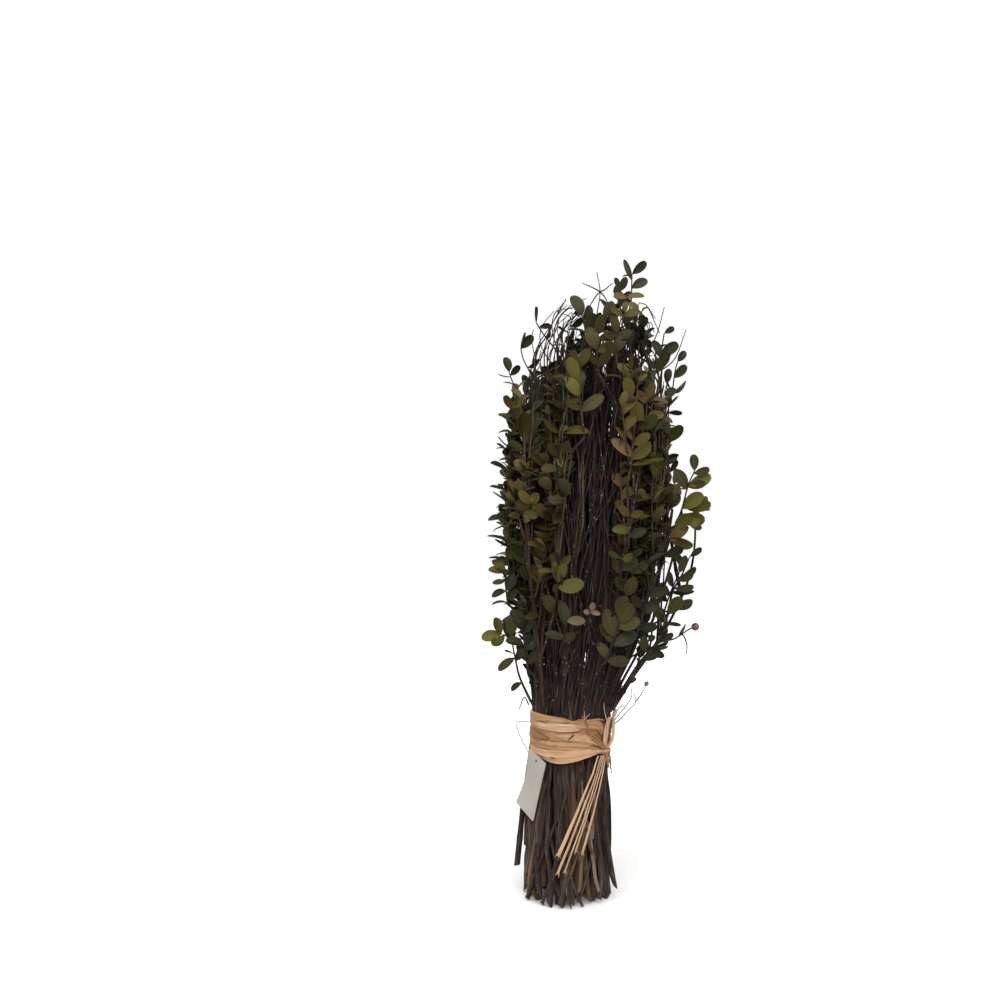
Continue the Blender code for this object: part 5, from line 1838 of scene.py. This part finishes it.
# Grey wisps that curl off the knot to the right, and the bud at the tip of the last: X, Y and Z of each point
WISPS = metres((
    ((340, -140, 1340), (380, -140, 1400), (450, -130, 1480), (492, -120, 1550), (492, -110, 1610)),
    ((350, -120, 1330), (410, -120, 1380), (465, -110, 1440), (525, -100, 1500), (515, -90, 1570)),
    ((360, -150, 1400), (395, -160, 1475), (450, -150, 1470)),
    ((520, -100, 1500), (565, -90, 1555), (600, -80, 1620)),
))
WISP_BUD = (WISPS[-1][-1], (0.0612, -0.008, 0.1642), (0.0616, -0.008, 0.1662))
WISP_BUD_RADII = (0.0003, 0.0009, 0.0015, 0.0018, 0.0017, 0.0012, 0.0003)


def add_knot(shape, rng):
    for shade, bright, route in STRANDS:
        widest = max(row[3] for row in route)
        add_strand(shape, route, (shade, bright, rng.random()), rng, 0.22 * widest, 24)
    for route in WISPS:
        tint = (1.0, 1.15, rng.random())
        add_tube(shape, smooth_path(route, 18), np.linspace(0.00065, 0.00030, 18), tint, 5)
    add_tube(shape, smooth_path(WISP_BUD, len(WISP_BUD_RADII)), WISP_BUD_RADII, (1.0, 0.8, 0.5), 8)


# The tails start this much higher and further left than the solids'. Those that end above a height also end
# further left
TAIL_RISE = 0.006
TAIL_SHIFT = 12.0
TAIL_END_SHIFT = 4.0
SHORT_TAIL_END = 0.0405
# The fibres that a tail's end frays into: how many, how long, how far they bend off, and their radii
FRAYS = 4
FRAY_LENGTH = (0.002, 0.005)
FRAY_BEND = 0.002
FRAY_RADII = (0.00028, 0.00012)


def add_tail(shape, tail, rng):
    """A strip that hangs from the knot and lies over the branches, with a frayed end."""
    width, top_azimuth, end_azimuth, end_z = tail
    top_azimuth -= TAIL_SHIFT
    end_azimuth -= TAIL_END_SHIFT if end_z > SHORT_TAIL_END else 0.0
    share = np.linspace(0.0, 1.0, 30)
    z = TAIL_TOP + TAIL_RISE * (1.0 - ramp(share, 0.0, 0.1)) + (end_z - TAIL_TOP) * share
    azimuth = top_azimuth + (end_azimuth - top_azimuth) * share ** 0.84
    radius = smooth_row(GIRTH, z) + 0.0012 + 0.0038 * ramp(share, 0.0, 0.3)
    radius = radius + 0.0040 * (1.0 - ramp(share, 0.0, 0.45)) ** 2
    middle = around(azimuth, radius, z) + wander(z, rng, 0.00015, 0.05)
    along, out = strip_frame(middle, azimuth)
    side = np.cross(out, along)
    half = width / 2 * (0.48 + 0.40 * ramp(share, 0.0, 0.9))
    tint = (rng.uniform(0.82, 0.90), rng.uniform(0.92, 1.06), rng.random())
    add_ribbon(shape, middle, side, out, half, tint, rng, 0.00016, 0.0002, columns=7)
    for _ in range(FRAYS):
        start = middle[-1] + side[-1] * rng.uniform(-0.8, 0.8) * half[-1]
        ahead = along[-1] * rng.uniform(*FRAY_LENGTH) + rightwards(end_azimuth) * rng.uniform(-0.001, 0.0022)
        bend = np.linspace(0.0, 1.0, 5)[:, None]
        course = start - along[-1] * 0.002 + ahead * bend + out[-1] * rng.uniform(0.0, FRAY_BEND) * bend ** 2
        add_tube(shape, course, np.linspace(*FRAY_RADII, 5), tint, 5)


# ---------------------------------------------------------------- tag and its filament

# How the card departs from flat and upright: bend along its length, curl of its lower end, and how far its
# upper right corner, its lower part and its foot are moved in its own plane
TAG_BEND = 0.0028
TAG_CURL = 0.0016
TAG_TUCK = 0.0030
TAG_DROP = 0.0048
TAG_SWEEP = 0.0030
TAG_THICKNESS = 0.0005
# How far apart the points of its edge are, and how many rows of points lie between the hole and the edge
TAG_EDGE_STEP = 0.0016
TAG_ROWS = 12


def tag_edge(width, low, high):
    """Points round a card with round corners, as X across and Y up from its hole."""
    rim = []
    for way_x, way_y, start in ((1, 1, 0.0), (-1, 1, 90.0), (-1, -1, 180.0), (1, -1, 270.0)):
        end = high if way_y > 0 else low
        corner = np.array((way_x * (width / 2 - TAG_CORNER), end - way_y * TAG_CORNER))
        for step in range(4):
            angle = math.radians(start + 30.0 * step)
            rim.append(corner + TAG_CORNER * np.array((math.cos(angle), math.sin(angle))))
    edge = []
    for here, beyond in zip(rim, rim[1:] + rim[:1]):
        pieces = max(1, round(np.linalg.norm(beyond - here) / TAG_EDGE_STEP))
        edge += [here + (beyond - here) * step / pieces for step in range(pieces)]
    return np.array(edge)


def add_tag(shape):
    """A blank card with a hole, small round corners and a curl."""
    width, height = TAG_SIZE
    edge = tag_edge(width, TAG_HOLE_FROM_TOP - height, TAG_HOLE_FROM_TOP)
    angles = np.arctan2(edge[:, 1], edge[:, 0])
    hole = TAG_HOLE_RADIUS * np.stack((np.cos(angles), np.sin(angles)), axis=1)
    share = (np.linspace(0.0, 1.0, TAG_ROWS) ** 1.2)[:, None, None]
    plan = hole[None] * (1.0 - share) + edge[None] * share
    x, y = plan[..., 0], plan[..., 1]
    down = (TAG_HOLE_FROM_TOP - y) / height
    left = 0.5 - x / width
    lift = left * (TAG_CURL * down ** 2 - TAG_BEND * np.sin(math.pi * ramp(down, 0.15, 1.0)))
    y = y + TAG_TUCK * (0.5 - left) * ramp(y, -0.002, TAG_HOLE_FROM_TOP) - TAG_DROP * ramp(down, 0.2, 1.0)
    x = x + TAG_SWEEP * down ** 1.3 + 0.0010 * left
    turn = math.radians(TAG_ROLL)
    out, flat = outwards(TAG_AZIMUTH), rightwards(TAG_AZIMUTH)
    up = UP * math.cos(turn) + flat * math.sin(turn)
    across = flat * math.cos(turn) - UP * math.sin(turn)
    middle = around(TAG_AZIMUTH, TAG_STAND_OFF, TAG_HOLE_Z) + flat * TAG_HOLE_SIDE
    face = middle + across * x[..., None] + up * y[..., None] + out * lift[..., None]
    rows, columns = x.shape
    points = np.concatenate((face + out * TAG_THICKNESS / 2, (face - out * TAG_THICKNESS / 2)[::-1]))
    here = np.arange(columns)
    beside = (here + 1) % columns
    last = (2 * rows - 1) * columns
    seam = np.stack((last + here, last + beside, beside, here), axis=1)
    grain = np.zeros((2 * rows, columns, 3))
    grain[:rows, :, 0], grain[:rows, :, 1] = 2.0 * x / width, 1.0 - 2.0 * down
    grain[rows:] = grain[:rows][::-1]
    shape.add(points, [tube_faces(2 * rows, columns), seam], (0.5, 1.0, 0.5), grain)


def add_tag_filament():
    """The filament from the band to the tag's hole, as a curve along its route."""
    points = smooth_path(LOOP_ROUTE, 40)
    curve = bpy.data.curves.new("tag_filament", "CURVE")
    curve.dimensions = "3D"
    curve.bevel_depth = LOOP_RADIUS
    curve.bevel_resolution = 4
    curve.use_fill_caps = True
    spline = curve.splines.new("POLY")
    spline.points.add(len(points) - 1)
    for target, point in zip(spline.points, points):
        target.co = (*point, 1.0)
    curve.materials.append(nylon_material())
    filament = link("tag_filament", curve)
    finish_piece(filament, "tag_loop")
    length = float(walked_along(points)[-1])


# ---------------------------------------------------------------- the bundle

TWIGS_OF_STEM = 4
TWIGS_OF_SIDE_LIMB = 2
TWIGS_OF_LEAFY_LIMB = 2
# Leafy branches take sprigs only from above the band
SPRIGS_ABOVE = 0.130
# Where the twig with the bud leaves its branch
BUD_TWIG_FOOT = (0.062, 0.196)


def grow_branches():
    """The branches: every limb settled beside the others, then twigs, shoots and sprays on them."""
    rng = random.Random(SEED)
    limbs = main_limbs(rng)
    limbs += companions(limbs, rng) + side_limbs(limbs, rng)
    settle(limbs)
    shapes = {}
    paths = {}
    for limb in limbs:
        rng = random.Random(f"{limb.node} {limb.foot:.4f}")
        shape = shapes.setdefault(limb.node, Shape())
        path = add_limb(shape, limb, rng)
        paths.setdefault(limb.node, path)
        count = TWIGS_OF_SIDE_LIMB if limb.parent is not None else TWIGS_OF_STEM
        add_twigs(shape, path, TWIGS_OF_LEAFY_LIMB if limb.node.startswith("boxwood") else count, rng)
    stems = {}
    for number, spec in enumerate(LEAFY):
        node = f"boxwood_branch_{number + 1:02d}"
        stem = add_leafy_branch(shapes[node], spec, paths[node], random.Random(node))
        stems[node] = stem[stem[:, 2] > SPRIGS_ABOVE]
    add_crown(shapes, stems, random.Random(SEED + 1))
    for spec in SPRIGS:
        _, stand, route, _ = spec
        node = nearest(stems, spray_point(*route[0], stand))
        add_sprig(shapes[node], spec, stems[node], random.Random(str(spec)))
    rng = random.Random(SEED)
    bare = {node: paths[node] for node in sorted(shapes) if node.startswith("bare")}
    add_crossing_stems(shapes, bare, random.Random(SEED + 2))
    add_strays(shapes, bare, rng)
    add_crossing_twigs(shapes, bare, rng)
    add_inner_twigs(shapes, bare, rng)
    add_bud(shapes[nearest(stems, spray_point(*BUD_TWIG_FOOT, BUD_STAND))], rng)
    add_arcs(shapes, bare, rng)
    add_bare_tips(shapes, bare, rng)
    return shapes


def main():
    add_camera()
    card = Shape()
    add_tag(card)
    tag = card.make("card_tag", [card_material()])
    finish_piece(tag, "price_tag")
    add_tag_filament()
    add_stage()

    bark = bark_material("bark", BARK_STOPS, 0.12, 6.0, 0.5)
    twig_bark = bark_material("twig_bark", TWIG_STOPS, 0.5, 3.0, 0.12)
    finishes = [bark, cut_wood_material(), twig_bark, leaf_material()]
    for node, shape in grow_branches().items():
        leafy = node.startswith("boxwood")
        name = node.replace("bare_branch", "bare_twigs").replace("boxwood_branch", "boxwood_spray")
        piece = shape.make(name, finishes if leafy else finishes[:LEAF])
        finish_piece(piece, node)

    raffia = raffia_material()
    rng = random.Random(SEED)
    band, knot = Shape(), Shape()
    add_band(band, rng)
    finish_piece(band.make("raffia_strips", [raffia]), "raffia_band")
    add_knot(knot, rng)
    finish_piece(knot.make("raffia_knot_strands", [raffia]), "raffia_knot")
    for number, spec in enumerate(TAILS):
        tail = Shape()
        add_tail(tail, spec, rng)
        piece = tail.make(f"raffia_strand_{number + 1}", [raffia])
        finish_piece(piece, f"raffia_tail_{number + 1}")


main()
